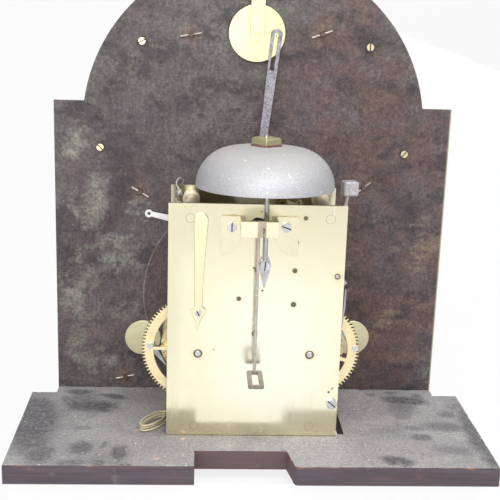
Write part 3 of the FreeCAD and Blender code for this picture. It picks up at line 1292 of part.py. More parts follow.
def silent_hand():
    """Hand of the arch disc, on the dial's front."""
    y0, y1 = SILENT_HAND_Y
    x, z = ARCH
    boss = cyl(ARCH, 6.0, y0, y1)
    arm = plate(strap((x, z), (x - 37.0, z), 4.4, 1.2), y0, y1)
    tail = plate(strap((x, z), (x + 14.0, z), 4.4, 2.4), y0, y1)
    end = cyl((x + 14.0, z), 2.6, y0, y1)
    return fuse([boss, arm, tail, end]).cut(cyl(ARCH, 2.5, y0 - 1, y1 + 1))


def silent_lever():
    """Slotted steel lever of the strike and silent work, on its stud in the front plate."""
    y0, y1 = LEVER_Y
    eye = (14.6, 284.9)
    low = (11.5, 258.4)
    tail = (0.3, 138.5)
    blade = plate(strap(eye, tail, 8.4, 4.2), y0, y1)
    round_end = cyl(eye, 4.3, y0, y1)
    boss = cyl(SILENT, 4.6, y0, y1)
    slot = plate(strap(eye, low, 3.2, 3.2), y0 - 1, y1 + 1)
    cuts = [slot, cyl(eye, 1.6, y0 - 1, y1 + 1), cyl(SILENT, STUD_R + FIT, y0 - 1, y1 + 1)]
    return fuse([blade, round_end, boss]).cut(cuts)


centre_steel, centre_brass = centre_parts()
third_lead = in_mesh(CENTRE, CENTRE_T, PHASE, THIRD, LEAVES)
third = wheel_on_arbor(THIRD, THIRD_T, M_THIRD, PHASE, THIRD_Y, 4.6, LEAVES, M_CENTRE, third_lead,
                       (CENTRE_Y[0] - 2, CENTRE_Y[1] + 2), [], 1.4)

NODES = {
    "seatboard": seatboard(),
    "seat_hooks": seat_hooks(),
    "back_plate": back_plate(),
    "front_plate": front_plate(),
    "plate_pillars": pillars(),
    "taper_pins": all_pins(),
    "back_cock": back_cock(),
    "plate_screws": plate_screws(),
    "bell_stand": bell_stand(),
    "bell": bell(),
    "bell_washer": bell_washer(),
    "bell_nut": bell_nut(),
    "leaf_spring": leaf_spring(),
    "hammer_spring": hammer_spring(),
    "hook_spring": hook_spring(),
    "dial_plate": dial_plate(),
    "dial_feet": dial_feet(),
    "dial_discs": dial_discs(),
    "chapter_ring": chapter_ring(),
    "small_rings": small_rings(),
    "spandrels": spandrels(),
    "spandrel_screws": spandrel_screws(),
    "arch_cock": arch_cock(),
    "hour_bridge": hour_bridge(),
    "work_studs": work_studs(),
    "going_great_wheel": great_wheel(GOING, GREAT_T, M_GREAT, PHASE, 4, 180.0),
    "going_click": click(GOING),
    "going_barrel": barrel(GOING, False),
    "going_arbor": great_arbor(GOING),
    "line_wound": line_wound(),
    "line_hank": line_hank(),
    "centre_arbor": centre_steel,
    "centre_wheel": centre_brass,
    "third_wheel": third,
    "escape_wheel": escape_wheel(),
    "escape_arbor": escape_arbor(),
    "seconds_hand": seconds_hand(),
    "pallet_anchor": pallets(),
    "crutch": crutch(),
    "cannon_wheel": cannon_wheel(),
    "minute_hand": minute_hand(),
    "minute_wheel": minute_wheel(),
    "hour_wheel": hour_wheel(),
    "hour_hand": hour_hand(),
    "strike_great_wheel": great_wheel(STRIKE, STRIKE_T, M_STRIKE, PHASE, 4, -15.0),
    "strike_click": click(STRIKE),
    "strike_barrel": barrel(STRIKE, True),
    "strike_arbor": great_arbor(STRIKE),
    "pin_wheel": pin_wheel(),
    "locking_wheel": locking_wheel(),
    "warning_wheel": warning_wheel(),
    "fly": fly(),
    "hammer": hammer(),
    "rack": rack(),
    "rack_hook": rack_hook(),
    "lifting_piece": lifting_piece(),
    "silent_disc": silent_disc(),
    "silent_hand": silent_hand(),
    "silent_lever": silent_lever(),
}

for node_name, node_shape in NODES.items():
    save(node_name, node_shape)
print("nodes", len(NODES))
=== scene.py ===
import json
import logging
import math
from dataclasses import dataclass
from enum import Enum
from typing import Callable, Iterable, Sequence, Union

import bmesh
import bpy
import numpy as np
from mathutils import Matrix, Vector
from mathutils.geometry import tessellate_polygon


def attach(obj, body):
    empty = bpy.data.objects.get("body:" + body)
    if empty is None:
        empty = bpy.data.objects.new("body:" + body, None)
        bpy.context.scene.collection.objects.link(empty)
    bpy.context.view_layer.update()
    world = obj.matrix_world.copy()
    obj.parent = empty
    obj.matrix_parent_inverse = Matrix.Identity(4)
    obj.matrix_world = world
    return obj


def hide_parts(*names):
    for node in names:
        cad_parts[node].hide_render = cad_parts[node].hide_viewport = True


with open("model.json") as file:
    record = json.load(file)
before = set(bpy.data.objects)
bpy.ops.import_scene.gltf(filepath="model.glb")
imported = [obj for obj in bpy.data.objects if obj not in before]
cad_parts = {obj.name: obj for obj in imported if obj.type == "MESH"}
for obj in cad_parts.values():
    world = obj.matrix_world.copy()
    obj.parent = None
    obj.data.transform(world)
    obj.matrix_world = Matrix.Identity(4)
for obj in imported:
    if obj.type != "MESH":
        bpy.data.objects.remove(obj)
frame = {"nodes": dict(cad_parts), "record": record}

# Movement of an eight-day longcase clock with its break-arch dial, seen from behind, on its seatboard.
# Sizes are millimetres in the movement's own measure: X from the dial's centre line, Y from the rear face
# of the back plate towards the dial, Z from the top of the seatboard. place() takes them to the row frame.

LOG = logging.getLogger("longcase_movement")
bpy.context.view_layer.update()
MM = 0.001
SHIFT = np.array([0.0, -15.0, 15.0])

CENTRE = (0.0, 79.3)
ESCAPE = (0.0, 126.7)
ARCH = (0.0, 285.5)
GOING = (-40.2, 63.6)
STRIKE = (40.2, 63.6)
DIAL_BACK = 91.8
DIAL_FRONT = 94.0
RING_FRONT = 95.8
BOARD_T = 15.0
ARBOR_R = 1.75
PINION_R = 6.5
COLLET = (1.8, 0.3)
SLOT_REACH = 0.86
SLOT_DEPTH = (0.1, 1.4)
HOURS, QUARTERS, MINUTES = 12, 48, 60

# FAR leaves an axis out of a test, NO_WHEEL says that an arbor has no wheel, and CAPITAL_H is a capital's
# height at a text size of 1. Points of a mesh closer than DOUBLES_M, in metres, are one point.
FAR = 1e6
NO_WHEEL = 1e3
CAPITAL_H = 0.72
DOUBLES_M = 1e-7
CAD_DOUBLES_M = 2e-6
FLAT_TURN = math.radians(0.5)
SHARP_TURN = math.radians(32.0)
SPANDREL_SCREWS = ((-117.5, -38.2), (-117.5, 196.8), (117.5, -38.2), (117.5, 196.8), (-86.0, 277.5),
                   (86.0, 277.5))

Pair = tuple[float, float]
Triple = tuple[float, float, float]
Colour = Triple
Skin = tuple[np.ndarray, np.ndarray]
Socket = bpy.types.NodeSocket
Value = Union[Socket, float, Sequence[float]]


def place(points: np.ndarray) -> np.ndarray:
    """Points in the movement's millimetres as metres in the row frame.

    Args:
        points: array of shape (n, 3).
    Returns:
        Array of the same shape.
    """
    return (np.asarray(points, float).reshape(-1, 3) + SHIFT) * MM


class Graph:
    """Node tree of one finish, with short calls for the nodes that the finishes share."""

    def __init__(self, name: str) -> None:
        """Start a material with a principled shader and object coordinates.

        Args:
            name: the material's name.
        """
        self.material = bpy.data.materials.new(name)
        self.material.use_nodes = True
        self.tree = self.material.node_tree
        self.tree.nodes.clear()
        self.out = self.add("ShaderNodeOutputMaterial")
        self.shader = self.add("ShaderNodeBsdfPrincipled")
        self.tree.links.new(self.shader.outputs["BSDF"], self.out.inputs["Surface"])
        self.coords = self.add("ShaderNodeTexCoord")

    def add(self, kind: str) -> bpy.types.Node:
        """New node of a kind."""
        return self.tree.nodes.new(kind)

    def feed(self, socket: Socket, value: Value) -> None:
        """Put a constant on a socket, or link another socket to it.

        Args:
            socket: input to set.
            value: number, colour, vector or another socket.
        """
        if isinstance(value, bpy.types.NodeSocket):
            self.tree.links.new(value, socket)
        elif isinstance(value, (int, float)):
            socket.default_value = value
        else:
            size = len(socket.default_value)
            socket.default_value = (list(value) + [1.0])[:size]

    def mapped(self, scale: Sequence[float], turn: Sequence[float] = (0, 0, 0),
               move: Sequence[float] = (0, 0, 0), uv: bool = False) -> Socket:
        """Object or UV coordinates after a mapping.

        Args:
            scale: factor along each axis.
            turn: rotation in radians.
            move: shift after the scale.
            uv: read the piece's UV map.
        Returns:
            Vector socket.
        """
        node = self.add("ShaderNodeMapping")
        self.feed(node.inputs["Vector"], self.coords.outputs["UV" if uv else "Object"])
        self.feed(node.inputs["Scale"], scale)
        self.feed(node.inputs["Rotation"], turn)
        self.feed(node.inputs["Location"], move)
        return node.outputs["Vector"]

    def noise(self, scale: float, detail: float = 4.0, rough: float = 0.55,
              stretch: Sequence[float] = (1, 1, 1), warp: float = 0.0,
              turn: Sequence[float] = (0, 0, 0), move: Sequence[float] = (0, 0, 0)) -> Socket:
        """Cloud noise on object coordinates.

        Args:
            scale: clouds per metre.
            detail, rough, warp: the texture's own settings.
            stretch, turn, move: mapping of the coordinates.
        Returns:
            Value socket from 0 to 1.
        """
        node = self.add("ShaderNodeTexNoise")
        self.feed(node.inputs["Vector"], self.mapped(stretch, turn, move))
        self.feed(node.inputs["Scale"], scale)
        self.feed(node.inputs["Detail"], detail)
        self.feed(node.inputs["Roughness"], rough)
        self.feed(node.inputs["Distortion"], warp)
        return node.outputs["Fac"]

    def cells(self, scale: float) -> Socket:
        """Distance to the nearest of a scatter of points, 0 at each point.

        Args:
            scale: points per metre.
        Returns:
            Value socket.
        """
        node = self.add("ShaderNodeTexVoronoi")
        self.feed(node.inputs["Vector"], self.coords.outputs["Object"])
        self.feed(node.inputs["Scale"], scale)
        return node.outputs["Distance"]

    def fade(self, value: Value, low: float, high: float, start: float = 0.0, end: float = 1.0) -> Socket:
        """Smooth step of a value between two limits.

        Args:
            value: what is read.
            low, high: limits of the value.
            start, end: result at each limit.
        Returns:
            Value socket.
        """
        node = self.add("ShaderNodeMapRange")
        node.interpolation_type = "SMOOTHSTEP"
        self.feed(node.inputs["Value"], value)
        self.feed(node.inputs["From Min"], low)
        self.feed(node.inputs["From Max"], high)
        self.feed(node.inputs["To Min"], start)
        self.feed(node.inputs["To Max"], end)
        return node.outputs["Result"]

    def calc(self, operation: str, a: Value, b: Value = 0.0) -> Socket:
        """Arithmetic on two values.

        Args:
            operation: name of the sum in the node.
            a, b: values.
        Returns:
            Value socket.
        """
        node = self.add("ShaderNodeMath")
        node.operation = operation
        self.feed(node.inputs[0], a)
        self.feed(node.inputs[1], b)
        return node.outputs[0]

    def times(self, a: Value, b: Value) -> Socket:
        """Product of two values."""
        return self.calc("MULTIPLY", a, b)

    def plus(self, a: Value, b: Value) -> Socket:
        """Sum of two values."""
        return self.calc("ADD", a, b)

    def most(self, a: Value, b: Value) -> Socket:
        """Larger of two values."""
        return self.calc("MAXIMUM", a, b)

    def blend(self, amount: Value, a: Value, b: Value) -> Socket:
        """Colour a towards colour b.

        Args:
            amount: share of b.
            a, b: colours.
        Returns:
            Colour socket.
        """
        node = self.add("ShaderNodeMix")
        node.data_type = "RGBA"
        self.feed(node.inputs[0], amount)
        self.feed(node.inputs[6], a)
        self.feed(node.inputs[7], b)
        return node.outputs[2]

    def scaled(self, colour: Socket, factor: Socket) -> Socket:
        """Colour times a value.

        Args:
            colour: what is scaled.
            factor: by how much.
        Returns:
            Colour socket.
        """
        node = self.add("ShaderNodeVectorMath")
        node.operation = "SCALE"
        self.feed(node.inputs[0], colour)
        self.feed(node.inputs["Scale"], factor)
        return node.outputs["Vector"]

    def ramp(self, value: Socket, stops: Sequence[tuple[float, Colour]]) -> Socket:
        """Colour band along a value.

        Args:
            value: place along the band.
            stops: (place, colour) of each mark.
        Returns:
            Colour socket.
        """
        node = self.add("ShaderNodeValToRGB")
        band = node.color_ramp.elements
        while len(band) < len(stops):
            band.new(0.5)
        for mark, (where, colour) in zip(band, stops):
            mark.position = where
            mark.color = (*colour, 1.0)
        self.feed(node.inputs["Fac"], value)
        return node.outputs["Color"]

    def parts(self, vector: Socket) -> tuple[Socket, Socket, Socket]:
        """X, Y and Z of a vector.

        Args:
            vector: what is split.
        Returns:
            Three value sockets.
        """
        node = self.add("ShaderNodeSeparateXYZ")
        self.feed(node.inputs[0], vector)
        return node.outputs[0], node.outputs[1], node.outputs[2]

    def facing(self) -> tuple[Socket, Socket, Socket]:
        """X, Y and Z of the surface's direction in the piece's own axes."""
        return self.parts(self.coords.outputs["Normal"])

    def oval(self, centre: Sequence[float], semi: Sequence[float],
             turn: Sequence[float] = (0, 0, 0)) -> Socket:
        """Distance from a point in half sizes of an oval, 1 on the oval's edge.

        Args:
            centre: middle in the movement's millimetres.
            semi: half size along each axis in millimetres; FAR leaves an axis out.
            turn: rotation of the oval in radians.
        Returns:
            Value socket.
        """
        node = self.add("ShaderNodeMapping")
        node.vector_type = "TEXTURE"
        self.feed(node.inputs["Vector"], self.coords.outputs["Object"])
        self.feed(node.inputs["Location"], [float(c) for c in place(np.array(centre))[0]])
        self.feed(node.inputs["Rotation"], turn)
        self.feed(node.inputs["Scale"], [size * MM for size in semi])
        span = self.add("ShaderNodeVectorMath")
        span.operation = "LENGTH"
        self.feed(span.inputs[0], node.outputs["Vector"])
        return span.outputs["Value"]

    def radius(self, x: float, z: float) -> Socket:
        """Distance in millimetres from an axis along Y at a place of the movement."""
        return self.oval((x, 0.0, z), (1.0, FAR, 1.0))

    def band(self, value: Socket, middle: float, half: float, soft: float, amount: float = 1.0) -> Socket:
        """Amount where a value is within half of a middle, falling to 0 over soft."""
        off = self.calc("ABSOLUTE", self.calc("SUBTRACT", value, middle))
        return self.fade(off, half, half + soft, amount, 0.0)

    def bump(self, height: Socket, depth_mm: float, strength: float = 1.0) -> None:
        """Relief of a height from 0 to 1, in millimetres.

        Args:
            height: socket from 0 to 1.
            depth_mm: full height.
            strength: share that shows.
        """
        node = self.add("ShaderNodeBump")
        self.feed(node.inputs["Height"], height)
        self.feed(node.inputs["Distance"], depth_mm * MM)
        self.feed(node.inputs["Strength"], strength)
        self.feed(self.shader.inputs["Normal"], node.outputs["Normal"])

    def surface(self, colour: Value, rough: Value, metal: Value) -> None:
        """Set the shader's main sockets.

        Args:
            colour, rough, metal: constants or sockets.
        """
        self.feed(self.shader.inputs["Base Color"], colour)
        self.feed(self.shader.inputs["Roughness"], rough)
        self.feed(self.shader.inputs["Metallic"], metal)


MADE: dict[str, bpy.types.Material] = {}


def shade(colour: Colour, factor: float) -> Colour:
    """Colour times a factor, at most 1."""
    return tuple(min(1.0, factor * c) for c in colour)


@dataclass(frozen=True)
class Finish:
    """Look of a surface. Each kind of finish lays its own nodes."""

    name: str

    def paint(self, g: Graph) -> None:
        """Lay the finish on a node tree; each kind does this in its own way."""
        raise NotImplementedError

    def material(self) -> bpy.types.Material:
        """Material of the finish, made once.

        Returns:
            The same material at each call.
        """
        if self.name not in MADE:
            g = Graph(self.name)
            self.paint(g)
            MADE[self.name] = g.material
        return MADE[self.name]


class Grain(Enum):
    """Direction of the fine lines that a stone or file leaves on a surface."""

    UPRIGHT = (900.0, 900.0, 14.0)
    NONE = (300.0, 300.0, 300.0)


@dataclass(frozen=True)
class PolishedBrass(Finish):
    """Clock brass: pale polish with faint lines, warm clouds of tarnish and a few brown specks."""

    name: str = "polished_brass"
    colour: Colour = (0.95, 0.90, 0.66)
    tarnish: Colour = (0.74, 0.62, 0.34)
    clouding: float = 0.30
    rough: float = 0.22
    grain: Grain = Grain.UPRIGHT
    lines_mm: float = 0.004
    specked: float = 0.3
    speck: Colour = (0.20, 0.12, 0.05)

    def polish(self, g: Graph) -> tuple[Socket, Socket]:
        """Colour and roughness of the clouded polish.

        Args:
            g: node tree to fill.
        Returns:
            Colour socket and roughness socket.
        """
        cloud = g.noise(26.0, 6.0, 0.6, warp=0.6)
        fine = g.noise(150.0, 5.0, 0.6)
        lines = g.noise(1.0, 3.0, 0.6, self.grain.value)
        mixed = g.plus(g.times(cloud, 0.7), g.times(fine, 0.3))
        dulled = g.times(g.fade(mixed, 0.42, 0.68), self.clouding)
        colour = g.blend(dulled, self.colour, self.tarnish)
        specks = g.fade(g.noise(650.0, 2.0, 0.5), 0.73, 0.79, 0.0, self.specked)
        colour = g.blend(specks, colour, self.speck)
        rough = g.plus(g.fade(lines, 0.3, 0.7, self.rough - 0.03, self.rough + 0.04),
                       g.times(dulled, 0.25))
        g.bump(lines, self.lines_mm, 0.5)
        return colour, rough

    def paint(self, g: Graph) -> None:
        """Lay the finish on a node tree.

        Args:
            g: node tree to fill.
        """
        g.surface(*self.polish(g), 1.0)


@dataclass(frozen=True)
class PlateBrass(PolishedBrass):
    """Plate of the movement: painted highlight in the middle, painted shade at the left and top, browner
    towards the foot with a thin line of painted shade and grime, oily pivot holes and rivet rings.
    """

    name: str = "plate_brass"
    colour: Colour = (0.975, 0.935, 0.70)
    tarnish: Colour = (0.90, 0.82, 0.54)
    rough: float = 0.14
    height: float = 173.5
    # Painted highlight for the middle of the plate.
    bright: Colour = (1.0, 0.99, 0.86)
    oil: Colour = (0.085, 0.055, 0.022)
    # Painted shade for the left edge and the top-left corner.
    dulled: Colour = (0.76, 0.715, 0.52)
    # Painted shade for the top of the plate.
    painted_shade_top: Colour = (0.82, 0.765, 0.55)
    browned: Colour = (0.84, 0.76, 0.48)
    stained: Colour = (0.72, 0.56, 0.26)
    rivet_line: Colour = (0.34, 0.26, 0.10)
    scuff: Colour = (1.0, 0.99, 0.93)
    sinks: tuple[Triple, ...] = (
        (-40.2, 63.6, 2.75), (40.2, 63.6, 2.75), (0.0, 79.3, 1.5), (-12.0, 105.2, 1.2), (0.0, 126.7, 1.1),
        (27.0, 101.5, 1.5), (27.0, 126.4, 1.3), (27.2, 146.9, 1.2), (33.1, 164.4, 1.1), (57.4, 122.6, 1.7))
    rivets: tuple[Pair, ...] = ((-42.0, 8.0), (42.0, 8.0), (-47.0, 163.0), (50.5, 164.0))
    marks: tuple[Triple, ...] = (
        (-29.0, 67.0, 0.5), (55.5, 35.0, 0.9), (4.6, 111.5, 0.8), (-2.0, 128.0, 0.7), (2.0, 168.5, 0.5),
        (23.0, 148.0, 0.6))

    def paint(self, g: Graph) -> None:
        """Lay the finish on a node tree.

        Args:
            g: node tree to fill.
        """
        colour, rough = self.polish(g)
        x, _, z = g.parts(g.coords.outputs["Object"])
        up = g.calc("SUBTRACT", g.times(z, 1.0 / MM), SHIFT[2])
        cloud = g.noise(17.0, 6.0, 0.6, move=(7.0, 0.0, 3.0))
        # Painted highlight: the middle of the plate lighter.
        middle = g.fade(g.oval((12.0, 0.0, 66.0), (52.0, FAR, 74.0)), 0.3, 1.25, 0.9, 0.0)
        colour = g.blend(middle, colour, self.bright)
        # Painted shade: the left edge and the top-left corner darker.
        aside = g.times(g.fade(x, -0.061, -0.046, 0.55, 0.0), g.fade(up, 20.0, 0.6 * self.height, 0.3, 1.0))
        corner = g.fade(g.oval((-62.0, 0.0, 176.0), (38.0, FAR, 44.0)), 0.4, 1.2, 0.9, 0.0)
        colour = g.blend(g.most(aside, corner), colour, self.dulled)
        # Painted shade: the top of the plate darker and greyer.
        top_shade_mask = g.times(g.fade(up, 0.62 * self.height, self.height, 0.0, 1.0),
                        g.fade(cloud, 0.2, 0.6, 0.7, 1.0))
        colour = g.blend(top_shade_mask, colour, self.painted_shade_top)
        # Painted shade with grime: a thin dark line along the foot of the plate, where it meets the board.
        colour = g.blend(g.fade(g.plus(up, g.times(cloud, 1.5)), 1.2, 2.0, 0.75, 0.0), colour, self.oil)
        lower = g.times(g.fade(up, 0.0, 36.0, 0.6, 0.0), g.fade(cloud, 0.3, 0.7, 0.6, 1.0))
        colour = g.blend(lower, colour, self.browned)
        for at, zz, r in self.sinks:
            ring = g.radius(at, zz)
            colour = g.blend(g.fade(ring, r + 0.2, r + 0.8, 0.95, 0.0), colour, self.oil)
            colour = g.blend(g.fade(ring, r + 0.6, r + 4.0, 0.16, 0.0), colour, self.stained)
        for at, zz in self.rivets:
            colour = g.blend(g.band(g.radius(at, zz), 3.2, 0.10, 0.25, 0.45), colour, self.rivet_line)
        for at, zz, r in self.marks:
            colour = g.blend(g.fade(g.radius(at, zz), r * 0.7, r * 1.3, 0.85, 0.0), colour, self.oil)
        for turn, seed in ((0.6, 3.0), (-0.5, 8.0)):
            hair = g.noise(1.0, 2.0, 0.5, (700.0, 1.0, 22.0), turn=(0.0, turn, 0.0), move=(seed, 0.0, seed))
            scuffed = g.times(g.fade(hair, 0.70, 0.78, 0.0, 0.7), g.fade(up, 0.7 * self.height, self.height))
            colour = g.blend(scuffed, colour, self.scuff)
        unpolished = g.fade(g.oval((1.5, 0.0, 164.0), (17.0, FAR, 9.0)), 0.5, 1.35, 0.66, 0.0)
        g.surface(colour, g.most(rough, unpolished), 1.0)


@dataclass(frozen=True)
class DialBrass(Finish):
    """Dial plate: mottled patina on the back, matted and polished brass on the front."""

    name: str = "dial_brass"
    darkest: Colour = (0.046, 0.036, 0.042)
    middle: Colour = (0.096, 0.080, 0.086)
    pale: Colour = (0.132, 0.120, 0.120)
    lichen: Colour = (0.168, 0.172, 0.148)
    crusted: Colour = (0.262, 0.264, 0.232)
    rust: Colour = (0.118, 0.072, 0.064)
    tan: Colour = (0.225, 0.165, 0.122)
    olive: Colour = (0.112, 0.114, 0.106)
    spilled: Colour = (0.165, 0.105, 0.080)
    ruddy: Colour = (0.112, 0.076, 0.076)
    scribed_line: Colour = (0.30, 0.27, 0.25)
    scratch: Colour = (0.30, 0.28, 0.27)
    speck: Colour = (0.36, 0.35, 0.31)
    bare_edge: Colour = (0.42, 0.41, 0.27)
    punched: Colour = (0.30, 0.20, 0.075)
    between: Colour = (0.64, 0.48, 0.21)
    gilt: Colour = (0.60, 0.46, 0.21)
    rubbed: Colour = (0.50, 0.36, 0.145)
    matted_r: float = 98.0
    inner_r: float = 84.0
    outer_r: float = 139.0
    half: float = 152.5
    grown: tuple[tuple[float, float, float, float], ...] = (
        (-128.0, 150.0, 20.0, 30.0), (-118.0, 112.0, 30.0, 26.0), (-140.0, 62.0, 12.0, 46.0),
        (-122.0, 22.0, 18.0, 14.0), (-88.0, 152.0, 14.0, 9.0), (-140.0, 196.0, 10.0, 14.0),
        (-100.0, 66.0, 16.0, 10.0))
    feet: tuple[Pair, ...] = ((-87.0, 162.2), (87.0, 169.0), (-98.5, 9.0), (-49.3, 283.0), (49.3, 286.0))

    def back(self, g: Graph) -> Socket:
        """Colour of the patina: dark clouds, grey-green growth on the left, rust on the right, scratches.

        Args:
            g: node tree to fill.
        Returns:
            Colour socket.
        """
        broad = g.noise(13.0, 11.0, 0.66, warp=0.7)
        colour = g.ramp(broad, [(0.34, self.darkest), (0.50, self.middle), (0.68, self.pale)])
        x, _, z = g.parts(g.coords.outputs["Object"])
        crust = g.noise(34.0, 14.0, 0.76, move=(3.1, 0.0, 1.7))
        olive = g.times(g.fade(z, 0.15, 0.24), g.fade(crust, 0.42, 0.60, 0.1, 0.75))
        colour = g.blend(olive, colour, self.olive)
        reach = None
        for cx, cz, a, b in self.grown:
            near = g.fade(g.oval((cx, 0.0, cz), (a, FAR, b)), 0.35, 1.45, 1.0, 0.0)
            reach = near if reach is None else g.most(reach, near)
        lift = g.plus(crust, g.fade(reach, 0.0, 1.0, -0.10, 0.045))
        colour = g.blend(g.fade(lift, 0.475, 0.545, 0.0, 0.9), colour, self.lichen)
        colour = g.blend(g.fade(lift, 0.55, 0.63, 0.0, 0.75), colour, self.crusted)
        right = g.fade(x, -0.02, 0.09, 0.3, 1.0)
        rusty = g.fade(g.noise(22.0, 12.0, 0.7, move=(0.0, 0.0, 5.0)), 0.40, 0.58, 0.1, 0.9)
        colour = g.blend(g.times(rusty, right), colour, self.rust)
        flakes = g.noise(24.0, 13.0, 0.72, (1.0, 1.0, 2.6), move=(6.0, 0.0, 2.0))
        flakes = g.fade(flakes, 0.52, 0.64, 0.0, 0.62)
        low = g.times(g.fade(z, 0.13, 0.20, 1.0, 0.2), g.fade(z, 0.02, 0.07, 0.2, 1.0))
        colour = g.blend(g.times(flakes, g.times(right, low)), colour, self.tan)
        stain = g.noise(30.0, 11.0, 0.72, (1.0, 1.0, 1.6), move=(1.0, 0.0, 9.0))
        colour = g.blend(g.fade(stain, 0.50, 0.62, 0.0, 0.75), colour, self.darkest)
        for fx, fz in self.feet:
            spill = g.times(g.fade(g.radius(fx, fz), 3.0, 13.0, 1.0, 0.0), g.fade(crust, 0.38, 0.60))
            colour = g.blend(g.times(spill, 0.7), colour, self.spilled)
        inner = g.radius(*CENTRE)
        warm = g.times(g.fade(inner, self.inner_r - 0.6, self.inner_r, 0.55, 0.0), g.fade(x, -0.02, -0.05))
        colour = g.blend(warm, colour, self.ruddy)
        small = g.times(g.band(inner, self.inner_r, 0.15, 0.4, 0.6), g.fade(x, -0.02, -0.05))
        large = g.times(g.band(inner, self.outer_r, 0.1, 0.3, 0.18), g.fade(z, 0.215, 0.232))
        colour = g.blend(g.most(small, large), colour, self.scribed_line)
        for turn, seed in ((0.5, 2.0), (-0.8, 9.0), (1.9, 4.0), (2.6, 6.0)):
            hair = g.noise(1.0, 2.0, 0.5, (900.0, 1.0, 14.0), turn=(0.0, turn, 0.0), move=(seed, 0.0, seed))
            colour = g.blend(g.fade(hair, 0.71, 0.77, 0.0, 0.25), colour, self.scratch)
        grit = g.times(g.fade(g.noise(460.0, 6.0, 0.8), 0.30, 0.70, 0.55, 1.5),
                       g.fade(g.noise(150.0, 8.0, 0.78, move=(2.0, 0.0, 8.0)), 0.36, 0.62, 0.80, 1.15))
        colour = g.scaled(colour, grit)
        specks = g.fade(g.noise(330.0, 3.0, 0.6, move=(5.0, 5.0, 5.0)), 0.70, 0.76, 0.0, 0.5)
        colour = g.blend(specks, colour, self.speck)
        edge = g.times(g.fade(x, (self.half - 1.4) * MM, (self.half - 0.5) * MM), 0.8)
        return g.blend(edge, colour, self.bare_edge)

    def paint(self, g: Graph) -> None:
        """Lay the finish on a node tree.

        Args:
            g: node tree to fill.
        """
        _, ny, _ = g.facing()
        front = g.fade(ny, 0.4, 0.6)
        centre = g.fade(g.radius(*CENTRE), self.matted_r - 1.0, self.matted_r, 1.0, 0.0)
        punch = g.cells(1500.0)
        gold = g.blend(g.fade(punch, 0.1, 0.6), self.punched, self.between)
        worn = g.blend(g.fade(g.noise(20.0, 8.0, 0.65), 0.38, 0.66), self.gilt, self.rubbed)
        gold = g.blend(centre, worn, gold)
        colour = g.blend(front, self.back(g), gold)
        rough = g.fade(front, 0.0, 1.0, 0.58, 0.34)
        metal = g.fade(front, 0.0, 1.0, 0.2, 1.0)
        pits = g.plus(g.times(g.noise(260.0, 6.0, 0.7), 0.5),
                      g.times(g.times(punch, centre), front))
        g.bump(pits, 0.12, 0.5)
        g.surface(colour, rough, metal)


@dataclass(frozen=True)
class BellMetal(Finish):
    """Dusty bell: dull grey metal, dust on its top, dark and pale freckles, faint turning lines."""

    name: str = "bell_metal"
    colour: Colour = (0.56, 0.56, 0.585)
    dust: Colour = (0.46, 0.435, 0.42)
    stain: Colour = (0.44, 0.44, 0.455)
    pitted: Colour = (0.33, 0.33, 0.34)
    freckle: Colour = (0.20, 0.19, 0.19)
    crumb: Colour = (0.85, 0.84, 0.80)

    def paint(self, g: Graph) -> None:
        """Lay the finish on a node tree.

        Args:
            g: node tree to fill.
        """
        cloud = g.noise(30.0, 8.0, 0.65, warp=0.5)
        colour = g.blend(g.fade(cloud, 0.42, 0.70, 0.0, 0.45), self.colour, self.stain)
        grit = g.fade(g.noise(1050.0, 4.0, 0.8), 0.44, 0.62, 0.0, 0.6)
        colour = g.blend(grit, colour, self.pitted)
        freckles = g.fade(g.noise(300.0, 3.0, 0.6, move=(4.0, 0.0, 0.0)), 0.68, 0.76, 0.0, 0.5)
        colour = g.blend(freckles, colour, self.freckle)
        _, _, up = g.facing()
        settled = g.times(g.fade(up, 0.25, 0.95), g.fade(g.noise(120.0, 6.0, 0.7), 0.3, 0.65, 0.45, 1.0))
        colour = g.blend(g.times(settled, 0.8), colour, self.dust)
        crumbs = g.fade(g.noise(300.0, 2.0, 0.5, (1.0, 1.0, 0.6), move=(9.0, 3.0, 0.0)), 0.695, 0.73)
        colour = g.blend(crumbs, colour, self.crumb)
        lines = g.noise(1.0, 2.0, 0.5, (6.0, 6.0, 1600.0))
        rough = g.plus(g.fade(lines, 0.3, 0.7, 0.52, 0.60), g.times(settled, 0.25))
        rough = g.plus(rough, g.times(grit, 0.1))
        metal = g.fade(settled, 0.0, 1.0, 0.48, 0.05)
        g.bump(g.plus(g.times(lines, 0.3), g.times(g.noise(420.0, 5.0, 0.7), 0.7)), 0.07, 0.5)
        g.surface(colour, rough, metal)


@dataclass(frozen=True)
class OldSteel(Finish):
    """Grey steel: file lines, dull clouds and scattered rust."""

    name: str = "old_steel"
    colour: Colour = (0.46, 0.46, 0.47)
    rust: Colour = (0.20, 0.105, 0.055)
    rusting: float = 0.45
    pits_mm: float = 0.03
    rough: float = 0.36
    metal: float = 0.9
    speckle: float = 0.0

    def paint(self, g: Graph) -> None:
        """Lay the finish on a node tree.

        Args:
            g: node tree to fill.
        """
        cloud = g.noise(210.0, 7.0, 0.65)
        pits = g.cells(900.0)
        spots = g.fade(g.noise(300.0, 5.0, 0.7, move=(2.0, 5.0, 1.0)), 0.56, 0.70, 0.0, self.rusting)
        colour = g.blend(g.fade(cloud, 0.35, 0.7, 0.0, 0.55), self.colour, shade(self.colour, 0.55))
        colour = g.blend(spots, colour, self.rust)
        grain = g.noise(850.0, 3.0, 0.7, move=(3.0, 1.0, 4.0))
        colour = g.blend(g.fade(grain, 0.50, 0.62, 0.0, self.speckle), colour, shade(self.colour, 0.3))
        colour = g.blend(g.fade(grain, 0.34, 0.44, self.speckle, 0.0), colour, shade(self.colour, 1.7))
        rough = g.plus(g.fade(cloud, 0.3, 0.7, self.rough - 0.06, self.rough + 0.1),
                       g.times(spots, 0.35))
        g.bump(g.plus(g.times(pits, 0.5), cloud), self.pits_mm, 0.6)
        g.surface(colour, rough, self.metal)


